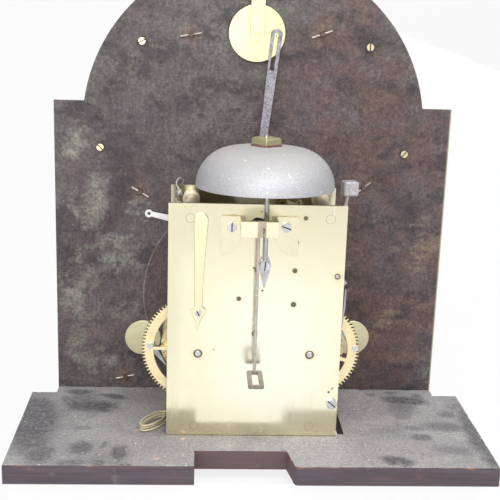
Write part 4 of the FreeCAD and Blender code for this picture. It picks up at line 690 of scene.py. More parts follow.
@dataclass(frozen=True)
class OldBoard(Finish):
    """Dark wooden board: dust, finger marks and crumbs on top, grain and worn arrises on its edges."""

    name: str = "old_board"
    dust: Colour = (0.300, 0.287, 0.292)
    pale: Colour = (0.395, 0.380, 0.382)
    bare: Colour = (0.052, 0.050, 0.064)
    wood: Colour = (0.088, 0.068, 0.083)
    ruddy: Colour = (0.150, 0.072, 0.062)
    fresh: Colour = (0.42, 0.20, 0.085)
    grain_line: Colour = (0.15, 0.135, 0.135)
    fleck: Colour = (0.12, 0.11, 0.11)
    crumb: Colour = (0.74, 0.66, 0.60)
    chip: Colour = (0.62, 0.44, 0.36)
    notch_wood: Colour = (0.125, 0.072, 0.066)
    scuff: Colour = (0.19, 0.165, 0.175)
    marks: tuple[tuple[float, float, float, float, float, float], ...] = (
        (-134.4, 78.9, 12.0, 6.0, 0, 0.9), (-105.8, 70.9, 12.5, 4.6, -20, 0.95),
        (-122.0, 52.1, 24.0, 12.0, -6, 0.95), (-132.0, 60.0, 17.0, 20.0, 0, 0.7),
        (-161.0, 30.0, 19.0, 54.0, 6, 0.9), (-123.9, 11.3, 7.5, 4.0, 0, 0.45),
        (-121.5, -21.3, 8.8, 11.5, 0, 0.75), (-106.1, -16.5, 2.4, 7.0, -12, 0.6),
        (-94.0, -29.5, 7.0, 12.5, 0, 0.85), (-125.3, -45.3, 11.5, 5.5, 0, 0.6),
        (-107.3, -45.0, 5.4, 6.0, 0, 0.6), (-148.6, -30.0, 11.0, 17.0, 0, 0.75),
        (-160.0, -8.0, 16.0, 26.0, 0, 0.8), (101.3, 79.7, 4.5, 3.6, 0, 0.6),
        (118.4, 83.5, 5.8, 3.6, 0, 0.7), (125.8, 68.0, 20.0, 9.0, -8, 1.0),
        (122.0, 52.0, 14.0, 14.0, 20, 0.6), (138.7, 74.1, 5.5, 8.0, 0, 0.7),
        (119.4, 38.5, 8.7, 7.5, 10, 0.5), (155.3, 42.5, 8.0, 8.0, 0, 0.6),
        (164.9, 56.1, 8.1, 7.5, 0, 0.45), (125.3, 15.5, 10.0, 4.2, -6, 0.6),
        (126.3, -0.4, 9.8, 6.0, -10, 0.75), (148.0, 18.1, 19.0, 9.0, -8, 0.6),
        (143.8, -21.0, 14.7, 8.0, -14, 0.5), (100.9, -38.6, 13.5, 7.6, -20, 0.95),
        (171.0, 0.0, 11.0, 66.0, 0, 0.85))
    chips: tuple[tuple[float, float, float, float], ...] = (
        (-83.5, 8.0, 3.0, 20), (-68.0, -38.0, 3.0, 25), (-50.0, -6.0, 2.4, 40))

    def dusty(self, g: Graph, grain: Socket) -> Socket:
        """Colour of the top: dust lifted by fingers, faint grain and pale crumbs.

        Args:
            g: node tree to fill.
            grain: value of the wood's grain.
        Returns:
            Colour socket.
        """
        soft = g.noise(24.0, 6.0, 0.6, warp=0.5)
        fine = g.noise(260.0, 7.0, 0.72)
        colour = g.blend(g.fade(soft, 0.35, 0.68), self.dust, self.pale)
        wobble = g.times(g.calc("SUBTRACT", g.noise(70.0, 10.0, 0.8, move=(2.0, 6.0, 0.0)), 0.5), 1.7)
        lifted = None
        for x, y, a, b, deg, amount in self.marks:
            off = g.oval((x, y, 0.0), (a, b, FAR), (0.0, 0.0, math.radians(deg)))
            mark = g.fade(g.plus(off, wobble), 0.50, 1.25, amount, 0.0)
            lifted = mark if lifted is None else g.most(lifted, mark)
        lifted = g.times(lifted, g.fade(fine, 0.38, 0.58, 0.55, 1.0))
        patchy = g.fade(g.noise(15.0, 8.0, 0.66, move=(5.0, 1.0, 0.0)), 0.54, 0.68, 0.0, 0.3)
        lifted = g.most(lifted, patchy)
        colour = g.blend(g.times(lifted, 0.92), colour, self.bare)
        colour = g.blend(g.fade(grain, 0.52, 0.72, 0.0, 0.28), colour, self.grain_line)
        colour = g.blend(g.fade(fine, 0.35, 0.65, 0.22, 0.0), colour, self.fleck)
        crumbs = g.fade(g.noise(330.0, 2.0, 0.5, move=(1.0, 2.0, 0.0)), 0.705, 0.73)
        colour = g.blend(crumbs, colour, self.crumb)
        for x, y, a, deg in self.chips:
            off = g.oval((x, y, 0.0), (a, 0.5 * a, FAR), (0.0, 0.0, math.radians(deg)))
            colour = g.blend(g.fade(g.plus(off, wobble), 0.7, 1.1, 0.9, 0.0), colour, self.chip)
        grit = g.noise(540.0, 5.0, 0.8, move=(0.0, 3.0, 0.0))
        return g.scaled(colour, g.fade(grit, 0.30, 0.70, 0.68, 1.34))

    def edges(self, g: Graph, grain: Socket) -> Socket:
        """Colour of the sides: dark stained wood with soft grain and ruddy streaks.

        Args:
            g: node tree to fill.
            grain: value of the wood's grain.
        Returns:
            Colour socket.
        """
        colour = g.blend(g.fade(grain, 0.36, 0.66), shade(self.wood, 0.78), shade(self.wood, 1.18))
        streak = g.noise(1.0, 8.0, 0.7, (40.0, 40.0, 300.0), move=(3.0, 0.0, 0.0))
        colour = g.blend(g.fade(streak, 0.50, 0.68, 0.0, 0.5), colour, self.ruddy)
        _, y, _ = g.parts(g.coords.outputs["Object"])
        colour = g.blend(g.fade(y, -0.060, -0.050, 0.0, 0.55), colour, self.notch_wood)
        scuffs = g.fade(g.noise(90.0, 7.0, 0.7), 0.60, 0.72, 0.0, 0.5)
        return g.blend(scuffs, colour, self.scuff)

    def paint(self, g: Graph) -> None:
        """Lay the finish on a node tree.

        Args:
            g: node tree to fill.
        """
        _, _, up = g.facing()
        grain = g.noise(1.0, 7.0, 0.68, (14.0, 420.0, 420.0), warp=0.35)
        colour = g.blend(g.fade(up, 0.7, 0.95), self.edges(g, grain), self.dusty(g, grain))
        arris = g.times(g.fade(up, 0.12, 0.3), g.fade(up, 0.72, 0.93, 1.0, 0.0))
        worn = g.times(arris, g.fade(g.noise(38.0, 7.0, 0.65), 0.50, 0.60, 0.0, 0.8))
        colour = g.blend(worn, colour, self.fresh)
        g.bump(grain, 0.12, 0.6)
        g.surface(colour, 0.80, 0.0)


@dataclass(frozen=True)
class Gut(Finish):
    """Twisted gut line: straw yellow, with strands along its UV length."""

    name: str
    twists: float
    colour: Colour = (0.72, 0.65, 0.42)
    groove: Colour = (0.42, 0.34, 0.17)
    pale: Colour = (0.80, 0.74, 0.55)

    def paint(self, g: Graph) -> None:
        """Lay the finish on a node tree.

        Args:
            g: node tree to fill.
        """
        u, v, _ = g.parts(g.mapped((self.twists, 3.0, 1.0), uv=True))
        strand = g.fade(g.calc("SINE", g.times(g.plus(u, v), 2 * math.pi)), -1.0, 1.0)
        stain = g.fade(g.noise(160.0, 5.0, 0.6), 0.35, 0.7)
        colour = g.blend(g.fade(strand, 0.0, 0.45, 0.75, 0.0), self.colour, self.groove)
        colour = g.blend(g.times(stain, 0.35), colour, self.pale)
        g.feed(g.shader.inputs["Subsurface Weight"], 0.12)
        g.feed(g.shader.inputs["Subsurface Radius"], (0.002, 0.0012, 0.0006))
        g.bump(strand, 0.12, 0.8)
        g.surface(colour, 0.46, 0.0)


@dataclass(frozen=True)
class Leather(Finish):
    """Old red-brown leather with a torn, fibrous edge."""

    name: str = "old_leather"
    colour: Colour = (0.21, 0.105, 0.085)
    pale: Colour = (0.34, 0.22, 0.19)

    def paint(self, g: Graph) -> None:
        """Lay the finish on a node tree.

        Args:
            g: node tree to fill.
        """
        fibre = g.noise(700.0, 7.0, 0.75)
        cloud = g.noise(160.0, 5.0, 0.6)
        colour = g.blend(g.fade(fibre, 0.35, 0.65), shade(self.colour, 0.5), self.colour)
        colour = g.blend(g.fade(cloud, 0.5, 0.7, 0.0, 0.6), colour, self.pale)
        g.bump(fibre, 0.2, 0.9)
        g.surface(colour, 0.9, 0.0)


@dataclass(frozen=True)
class Silvered(Finish):
    """Silvered brass with fine circular graining about an axis along Y, its feet behind the dial dark."""

    name: str
    centre: Pair
    colour: Colour = (0.66, 0.65, 0.60)
    tarnish: Colour = (0.50, 0.45, 0.33)
    speck: Colour = (0.25, 0.2, 0.14)
    rear: Colour = (0.115, 0.085, 0.065)

    def paint(self, g: Graph) -> None:
        """Lay the finish on a node tree.

        Args:
            g: node tree to fill.
        """
        ring = g.radius(*self.centre)
        node = g.add("ShaderNodeTexNoise")
        node.noise_dimensions = "1D"
        g.feed(node.inputs["W"], ring)
        g.feed(node.inputs["Scale"], 6.0)
        g.feed(node.inputs["Detail"], 3.0)
        lines = node.outputs["Fac"]
        cloud = g.noise(24.0, 6.0, 0.6, warp=0.4)
        colour = g.blend(g.fade(cloud, 0.45, 0.72, 0.0, 0.55), self.colour, self.tarnish)
        colour = g.blend(g.fade(g.noise(500.0, 2.0), 0.70, 0.76, 0.0, 0.6), colour, self.speck)
        _, y, _ = g.parts(g.coords.outputs["Object"])
        behind = g.fade(y, (DIAL_BACK + SHIFT[1]) * MM, (DIAL_FRONT + SHIFT[1]) * MM, 1.0, 0.0)
        colour = g.blend(behind, colour, self.rear)
        g.bump(lines, 0.01, 0.6)
        g.surface(colour, g.fade(lines, 0.3, 0.7, 0.40, 0.52), g.fade(behind, 0.0, 1.0, 0.55, 0.3))


@dataclass(frozen=True)
class GiltCasting(Finish):
    """Gilt cast brass, bright on the high parts and dark in the hollows of its relief."""

    name: str = "gilt_casting"
    bright: Colour = (0.85, 0.64, 0.28)
    hollow: Colour = (0.20, 0.115, 0.035)

    def paint(self, g: Graph) -> None:
        """Lay the finish on a node tree.

        Args:
            g: node tree to fill.
        """
        node = g.add("ShaderNodeAttribute")
        node.attribute_name = "relief"
        high = node.outputs["Fac"]
        grit = g.noise(420.0, 6.0, 0.65)
        height = g.plus(high, g.times(g.calc("SUBTRACT", grit, 0.5), 0.3))
        colour = g.blend(g.fade(height, 0.15, 0.55), self.hollow, self.bright)
        g.bump(grit, 0.06, 0.6)
        g.surface(colour, g.fade(height, 0.1, 0.6, 0.62, 0.30), 1.0)


@dataclass(frozen=True)
class BluedSteel(Finish):
    """Heat-blued steel of the hands."""

    name: str = "blued_steel"
    colour: Colour = (0.035, 0.045, 0.10)
    faded: Colour = (0.10, 0.075, 0.075)

    def paint(self, g: Graph) -> None:
        """Lay the finish on a node tree.

        Args:
            g: node tree to fill.
        """
        cloud = g.noise(120.0, 5.0, 0.6)
        colour = g.blend(g.fade(cloud, 0.45, 0.7, 0.0, 0.6), self.colour, self.faded)
        g.bump(g.noise(900.0, 3.0), 0.01, 0.5)
        g.surface(colour, g.fade(cloud, 0.3, 0.7, 0.26, 0.42), 0.9)


@dataclass(frozen=True)
class BlackWax(Finish):
    """Black wax that fills the engraving, slightly cracked."""

    name: str = "black_wax"
    black: Colour = (0.012, 0.011, 0.010)
    dusty: Colour = (0.05, 0.045, 0.04)

    def paint(self, g: Graph) -> None:
        """Lay the finish on a node tree.

        Args:
            g: node tree to fill.
        """
        crack = g.noise(900.0, 5.0, 0.7)
        colour = g.blend(g.fade(crack, 0.5, 0.75), self.black, self.dusty)
        g.bump(crack, 0.03, 0.5)
        g.surface(colour, 0.45, 0.0)


@dataclass(frozen=True)
class StudioWhite(Finish):
    """White of the stage: takes soft shadows, is white to the lens and darkens to the sides in metal."""

    name: str = "studio_white"
    colour: Colour = (0.88, 0.88, 0.88)
    lift: float = 0.82
    aside: float = 0.30

    def paint(self, g: Graph) -> None:
        """Lay the finish on a node tree.

        Args:
            g: node tree to fill.
        """
        g.surface(self.colour, 1.0, 0.0)
        x, _, _ = g.parts(g.coords.outputs["Object"])
        middle = g.fade(g.calc("ABSOLUTE", x), 0.25, 0.85, 1.0, self.aside)
        path = g.add("ShaderNodeLightPath")
        seen = g.most(path.outputs["Is Camera Ray"], path.outputs["Is Transmission Ray"])
        shown = g.most(seen, path.outputs["Is Glossy Ray"])
        glow = g.add("ShaderNodeEmission")
        g.feed(glow.inputs["Strength"], g.most(seen, middle))
        mix = g.add("ShaderNodeMixShader")
        g.feed(mix.inputs[0], g.times(shown, self.lift))
        g.tree.links.new(g.shader.outputs["BSDF"], mix.inputs[1])
        g.tree.links.new(glow.outputs["Emission"], mix.inputs[2])
        g.tree.links.new(mix.outputs["Shader"], g.out.inputs["Surface"])


@dataclass(frozen=True)
class SlotShadow(Finish):
    """Painted shade at the bottom of a screw slot."""

    name: str = "slot_painted_shade"
    deep: Colour = (0.012, 0.010, 0.008)
    pale: Colour = (0.06, 0.045, 0.03)

    def paint(self, g: Graph) -> None:
        """Lay the finish on a node tree.

        Args:
            g: node tree to fill.
        """
        grit = g.noise(1500.0, 3.0, 0.6)
        g.surface(g.blend(grit, self.deep, self.pale), 0.8, 0.0)


@dataclass(frozen=True)
class ScrewBrass(PolishedBrass):
    """Screw heads of the dial: bright brass in the middle, darker and duller round the rim."""

    name: str = "screw_brass"
    colour: Colour = (0.95, 0.84, 0.52)
    rim_dark: Colour = (0.075, 0.056, 0.050)
    grain: Grain = Grain.NONE
    bright_r: float = 2.5
    heads: tuple[Pair, ...] = SPANDREL_SCREWS

    def paint(self, g: Graph) -> None:
        """Lay the finish on a node tree.

        Args:
            g: node tree to fill.
        """
        colour, rough = self.polish(g)
        off = None
        for x, z in self.heads:
            ring = g.radius(x, z)
            off = ring if off is None else g.calc("MINIMUM", off, ring)
        # Darker and duller towards the rim of each head.
        rim = g.fade(off, self.bright_r - 0.2, self.bright_r + 0.5)
        colour = g.blend(rim, colour, self.rim_dark)
        g.surface(colour, g.plus(rough, g.times(rim, 0.3)), g.fade(rim, 0.0, 1.0, 1.0, 0.3))


# Both plates carry the painted highlight and painted shade of this finish.
BACK_PLATE = PlateBrass()
FRONT_PLATE = PlateBrass("front_plate_brass", sinks=(), marks=())
WHEEL_BRASS = PolishedBrass("wheel_brass", (0.96, 0.83, 0.52), (0.74, 0.56, 0.26), 0.45, 0.3, Grain.NONE)
COCK_BRASS = PolishedBrass("cock_brass", (0.88, 0.83, 0.60), (0.74, 0.66, 0.40), 0.35, 0.2, Grain.NONE,
                           specked=0.15)
# Painted highlight: a lighter copy of the cock's brass for the front of its bar.
LIT_BAR_BRASS = PolishedBrass("bar_brass_painted_highlight", (0.97, 0.93, 0.70), (0.90, 0.82, 0.52), 0.25, 0.16, Grain.NONE,
                          specked=0.1)
ARCH_BRASS = PolishedBrass("arch_brass", (0.93, 0.86, 0.52), (0.76, 0.65, 0.32), 0.5, 0.22, Grain.NONE,
                           specked=0.1)
LEAF_BRASS = PolishedBrass("leaf_brass", (0.96, 0.90, 0.61), (0.88, 0.78, 0.46), 0.3, 0.2, Grain.UPRIGHT,
                           specked=0.1)
# Painted shade along the bevels of the cocks, as a dark outline.
OUTLINE_SHADE_BRASS = PolishedBrass("painted_outline_brass", (0.80, 0.68, 0.36), (0.62, 0.50, 0.24), 0.5, 0.34, Grain.NONE,
                           specked=0.0)
NUT_BRASS = PolishedBrass("nut_brass", (0.74, 0.69, 0.42), (0.46, 0.42, 0.22), 0.7, 0.36, Grain.NONE)
PILLAR_BRASS = PolishedBrass("pillar_brass", (0.80, 0.73, 0.58), (0.56, 0.48, 0.36), 0.7, 0.55, Grain.NONE)
DISC_BRASS = PolishedBrass("disc_brass", (0.88, 0.82, 0.55), (0.64, 0.57, 0.32), 0.55, 0.34, Grain.UPRIGHT)
DULL_BRASS = PolishedBrass("dull_brass", (0.50, 0.42, 0.24), (0.28, 0.21, 0.11), 0.8, 0.4, Grain.NONE)
# Painted shade: the face of the back plate that looks into the movement, dark.
SHADED_INSIDE_BRASS = PolishedBrass("inside_brass_painted_shade", (0.22, 0.18, 0.10), (0.10, 0.08, 0.045), 0.9, 0.5, Grain.UPRIGHT)
SCREW_BRASS = ScrewBrass()
# Painted shade for the groove across the cock's bar.
SHADED_GROOVE_BRASS = PolishedBrass("groove_brass_painted_shade", (0.52, 0.45, 0.35), (0.36, 0.29, 0.21), 0.6, 0.45, Grain.NONE)
# Painted shade for the tops of the cock's cheeks above the bar.
SHADED_TOP_BRASS = PolishedBrass("top_brass_painted_shade", (0.62, 0.57, 0.43), (0.44, 0.39, 0.27), 0.6, 0.5, Grain.NONE)
BARREL_BRASS = PolishedBrass("barrel_brass", (0.66, 0.57, 0.36), (0.42, 0.34, 0.19), 0.6, 0.36, Grain.NONE)
STEEL = OldSteel()
PIVOT_STEEL = OldSteel("pivot_steel", (0.20, 0.18, 0.155), rusting=0.4, rough=0.4)
# Painted shade along the bevels of the plate screws, as a dark outline.
OUTLINE_SHADE_STEEL = OldSteel("painted_outline_steel", (0.26, 0.25, 0.25), rusting=0.4, rough=0.4)
ROD_STEEL = OldSteel("rod_steel", (0.60, 0.60, 0.61), rusting=0.12, rough=0.17)
LOOP_STEEL = OldSteel("loop_steel", (0.30, 0.255, 0.215), rusting=0.4, rough=0.5, metal=0.5, speckle=0.2)
BRIGHT_STEEL = OldSteel("bright_steel", (0.72, 0.72, 0.73), rusting=0.2, rough=0.24)
HOOK_STEEL = OldSteel("hook_steel", (0.90, 0.89, 0.90), rusting=0.2, rough=0.34, metal=0.6, speckle=0.15)
PIN_STEEL = OldSteel("pin_steel", (0.56, 0.53, 0.47), rusting=0.8, rough=0.48)
CRUTCH_STEEL = OldSteel("crutch_steel", (0.60, 0.56, 0.51), rusting=0.35, rough=0.42, metal=0.6, speckle=0.2)
LEVER_IRON = OldSteel("lever_iron", (0.37, 0.36, 0.40), rusting=0.3, pits_mm=0.2, rough=0.5, metal=0.7,
                      speckle=0.6)
HAMMER_IRON = OldSteel("hammer_iron", (0.56, 0.53, 0.55), rusting=0.45, pits_mm=0.2, rough=0.55, metal=0.5,
                       speckle=0.45)
SLOT_SHADE = SlotShadow()


def grid_faces(rows: int, cols: int, wrap_rows: bool = False, wrap_cols: bool = False) -> np.ndarray:
    """Quads of a grid of rows by cols points, joined at the ends where it wraps.

    Args:
        rows, cols: points each way; point (i, j) has index i * cols + j.
        wrap_rows, wrap_cols: join the last line of points to the first.
    Returns:
        Array of shape (n, 4).
    """
    i = np.arange(rows if wrap_rows else rows - 1)
    j = np.arange(cols if wrap_cols else cols - 1)
    i, j = np.meshgrid(i, j, indexing="ij")
    i, j = i.ravel(), j.ravel()
    ni, nj = (i + 1) % rows, (j + 1) % cols
    return np.stack([i * cols + j, i * cols + nj, ni * cols + nj, ni * cols + j], axis=1)


def linked(name: str, data: bpy.types.ID) -> bpy.types.Object:
    """New object of some data, in the scene.

    Args:
        name: the object's name.
        data: its mesh, curve, lamp or camera.
    Returns:
        The object.
    """
    obj = bpy.data.objects.new(name, data)
    bpy.context.scene.collection.objects.link(obj)
    return obj


def as_drawn(curve: bpy.types.Curve) -> tuple[np.ndarray, list[list[int]]]:
    """Mesh that a curve or text draws. The curve is used up.

    Args:
        curve: data of the curve or text.
    Returns:
        Points of shape (n, 3), and the faces' point numbers.
    """
    probe = bpy.data.objects.new("probe", curve)
    mesh = bpy.data.meshes.new_from_object(probe)
    points = np.empty(3 * len(mesh.vertices), np.float32)
    mesh.vertices.foreach_get("co", points)
    faces = [list(p.vertices) for p in mesh.polygons]
    bpy.data.objects.remove(probe)
    bpy.data.curves.remove(curve)
    bpy.data.meshes.remove(mesh)
    return points.reshape(-1, 3).astype(float), faces


def lay_mesh(name: str, points: np.ndarray, faces: Iterable[Sequence[int]],
             sharp: float = 35.0) -> bpy.types.Object:
    """Mesh object at the origin from movement points.

    Args:
        name: the piece's name.
        points: array of shape (n, 3) in millimetres.
        faces: loops of point numbers, counter-clockwise from outside.
        sharp: edges that turn by more degrees than this stay sharp.
    Returns:
        The new object, linked to the scene.
    """
    mesh = bpy.data.meshes.new(name)
    mesh.from_pydata(place(points).tolist(), [], [list(map(int, f)) for f in faces])
    mesh.update()
    mesh.shade_smooth()
    mesh.set_sharp_from_angle(angle=math.radians(sharp))
    return linked(name, mesh)


def outward(obj: bpy.types.Object, merge: bool = True) -> None:
    """Turn the faces of a mesh of closed shells outwards.

    Args:
        obj: the piece.
        merge: join points that lie in one place first.
    """
    bm = bmesh.new()
    bm.from_mesh(obj.data)
    if merge:
        bmesh.ops.remove_doubles(bm, verts=bm.verts, dist=DOUBLES_M)
    bmesh.ops.recalc_face_normals(bm, faces=bm.faces)
    bm.to_mesh(obj.data)
    bm.free()


def finish_piece(obj: bpy.types.Object, finish: Finish, body: str, slot: str, *nodes: str,
                 more: Sequence[Finish] = ()) -> None:
    """Dress a new piece, fix it to its body and let it stand for CAD nodes.

    Args:
        obj: the piece.
        finish: what it looks like.
        body: the body that it moves with.
        slot: material slot of the record; not used.
        nodes: CAD nodes that it stands for.
        more: finishes of single faces, in the order of their numbers.
    """
    obj.data.materials.clear()
    for each in (finish, *more):
        obj.data.materials.append(each.material())
    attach(obj, body)
    if nodes:
        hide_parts(*nodes)
    LOG.info("%s on %s", obj.name, body)


def circle_through(a: np.ndarray, m: np.ndarray, b: np.ndarray, count: int) -> np.ndarray:
    """Points on the arc from a through m to b: mid-normals of its chords give the centre, then even angles.

    Args:
        a, m, b: points of shape (2,).
        count: number of points, ends included.
    Returns:
        Array of shape (count, 2).
    """
    lhs = 2.0 * np.array([m - a, b - a])
    rhs = np.array([m @ m - a @ a, b @ b - a @ a])
    centre = np.linalg.solve(lhs, rhs)
    angles = np.unwrap([math.atan2(*(p - centre)[::-1]) for p in (a, m, b)])
    steps = np.linspace(angles[0], angles[2], count)
    radius = np.linalg.norm(a - centre)
    return centre + radius * np.stack([np.cos(steps), np.sin(steps)], axis=1)


def turned(profile: np.ndarray, at: Pair, along: int, around: int) -> Skin:
    """Ring of a closed (radius, height) profile turned about an axis: (u + r cos a, v + r sin a) across it.

    Args:
        profile: array of shape (n, 2).
        at: the axis, in the two directions across it.
        along: number of the axis' own direction.
        around: points round the ring.
    Returns:
        Points and faces.
    """
    a = np.linspace(0, 2 * math.pi, around, endpoint=False)
    r, height = profile[:, :1], profile[:, 1:]
    columns = [at[0] + r * np.cos(a), at[1] + r * np.sin(a)]
    columns.insert(along, np.broadcast_to(height, (len(profile), around)))
    return np.stack(columns, axis=2).reshape(-1, 3), grid_faces(len(profile), around, True, True)


@dataclass
class BellGroup:
    """Bell with its torn leather washer, on the upright end of the stand."""

    x: float = 5.5
    y: float = 25.0
    radius: float = 49.6
    rim_z: float = 181.5
    top_z: float = 210.5
    wall: float = 2.2
    rod_r: float = 1.75
    washer_r: float = 9.6
    washer_t: float = 1.4
    lean: float = 2.0
    around: int = 144
    washer_points: int = 120
    arc_points: tuple[int, int] = (26, 18)

    def side(self, off: float, count: int) -> np.ndarray:
        """Profile from the rim to the rod hole: an arc over the shoulder, a flatter arc and a flat crown.

        Args:
            off: distance in from the outer face.
            count: points on the longer arc.
        Returns:
            Array of (radius, z).
        """
        r, lo, hi = self.radius, self.rim_z, self.top_z
        h = hi - lo
        a = np.array([r - off, lo])
        m = np.array([0.93 * r - off, lo + 0.47 * h - 0.35 * off])
        b = np.array([0.60 * r - 0.4 * off, hi - 0.07 * h - off])
        c = np.array([0.44 * r, hi - 0.018 * h - off])
        d = np.array([0.26 * r, hi - off])
        flat = np.linspace(d, [self.rod_r, hi - off], 5)[1:]
        return np.concatenate([circle_through(a, m, b, count)[:-1], circle_through(b, c, d, count // 2),
                               flat])

    def bell(self) -> bpy.types.Object:
        """Bell wall: outer profile, rounded rim and inner profile turned as one closed loop.

        The loop (r, z) is turned to (x + r cos a, y + r sin a, z), then leant back about its crown by an
        angle t: y' = y0 + (y - y0) cos t + (z - z0) sin t and z' = z0 - (y - y0) sin t + (z - z0) cos t.

        Returns:
            The piece.
        """
        outer = self.side(0.0, self.arc_points[0])
        inner = self.side(self.wall, self.arc_points[1])[::-1]
        lip = np.array([[self.radius - self.wall * t, self.rim_z - 0.35 * math.sin(math.pi * t)]
                        for t in (0.85, 0.6, 0.4, 0.15)])
        loop = np.concatenate([outer, inner, lip])
        pts, faces = turned(loop, (self.x, self.y), 2, self.around)
        t = math.radians(self.lean)
        dy, dz = pts[:, 1] - self.y, pts[:, 2] - self.top_z
        pts[:, 1] = self.y + dy * math.cos(t) + dz * math.sin(t)
        pts[:, 2] = self.top_z - dy * math.sin(t) + dz * math.cos(t)
        obj = lay_mesh("bell_wall", pts, faces, 50.0)
        outward(obj)
        return obj

    def washer(self) -> bpy.types.Object:
        """Washer: a closed loop turned about the rod, its rim pushed in and out by uneven waves.

        Returns:
            The piece.
        """
        n = self.washer_points
        a = np.linspace(0, 2 * math.pi, n, endpoint=False)
        rag = 0.9 * np.cos(4 * a + 0.4) + 0.4 * np.cos(9 * a + 1)
        rag += 0.45 * np.sin(17 * a + 2) + 0.4 * np.sin(29 * a)
        curl = 0.3 * np.sin(3 * a + 0.6) + 0.2 * np.sin(11 * a)
        z0, t = self.top_z, self.washer_t
        rings = [(self.rod_r, z0, 0, 0), (self.washer_r - 0.6, z0, 1, 0), (self.washer_r, z0 + 0.25, 1, 0.2),
                 (self.washer_r + 0.1, z0 + 0.8, 1, 0.6), (self.washer_r - 0.4, z0 + t, 1, 0.5),
                 (self.washer_r - 2.0, z0 + t, 0.5, 0.0), (self.rod_r, z0 + t, 0, 0)]
        across, aside = np.cos(a), np.sin(a)
        pts = [np.stack([self.x + (r + k * rag) * across, self.y + (r + k * rag) * aside, z + c * curl], 1)
               for r, z, k, c in rings]
        obj = lay_mesh("bell_washer_leather", np.concatenate(pts), grid_faces(len(rings), n, True, True),
                       60.0)
        outward(obj)
        return obj

    def build(self) -> None:
        """Make both pieces."""
        finish_piece(self.bell(), BellMetal(), "frame", "bell_metal", "bell")
        finish_piece(self.washer(), Leather(), "frame", "leather", "bell_washer")


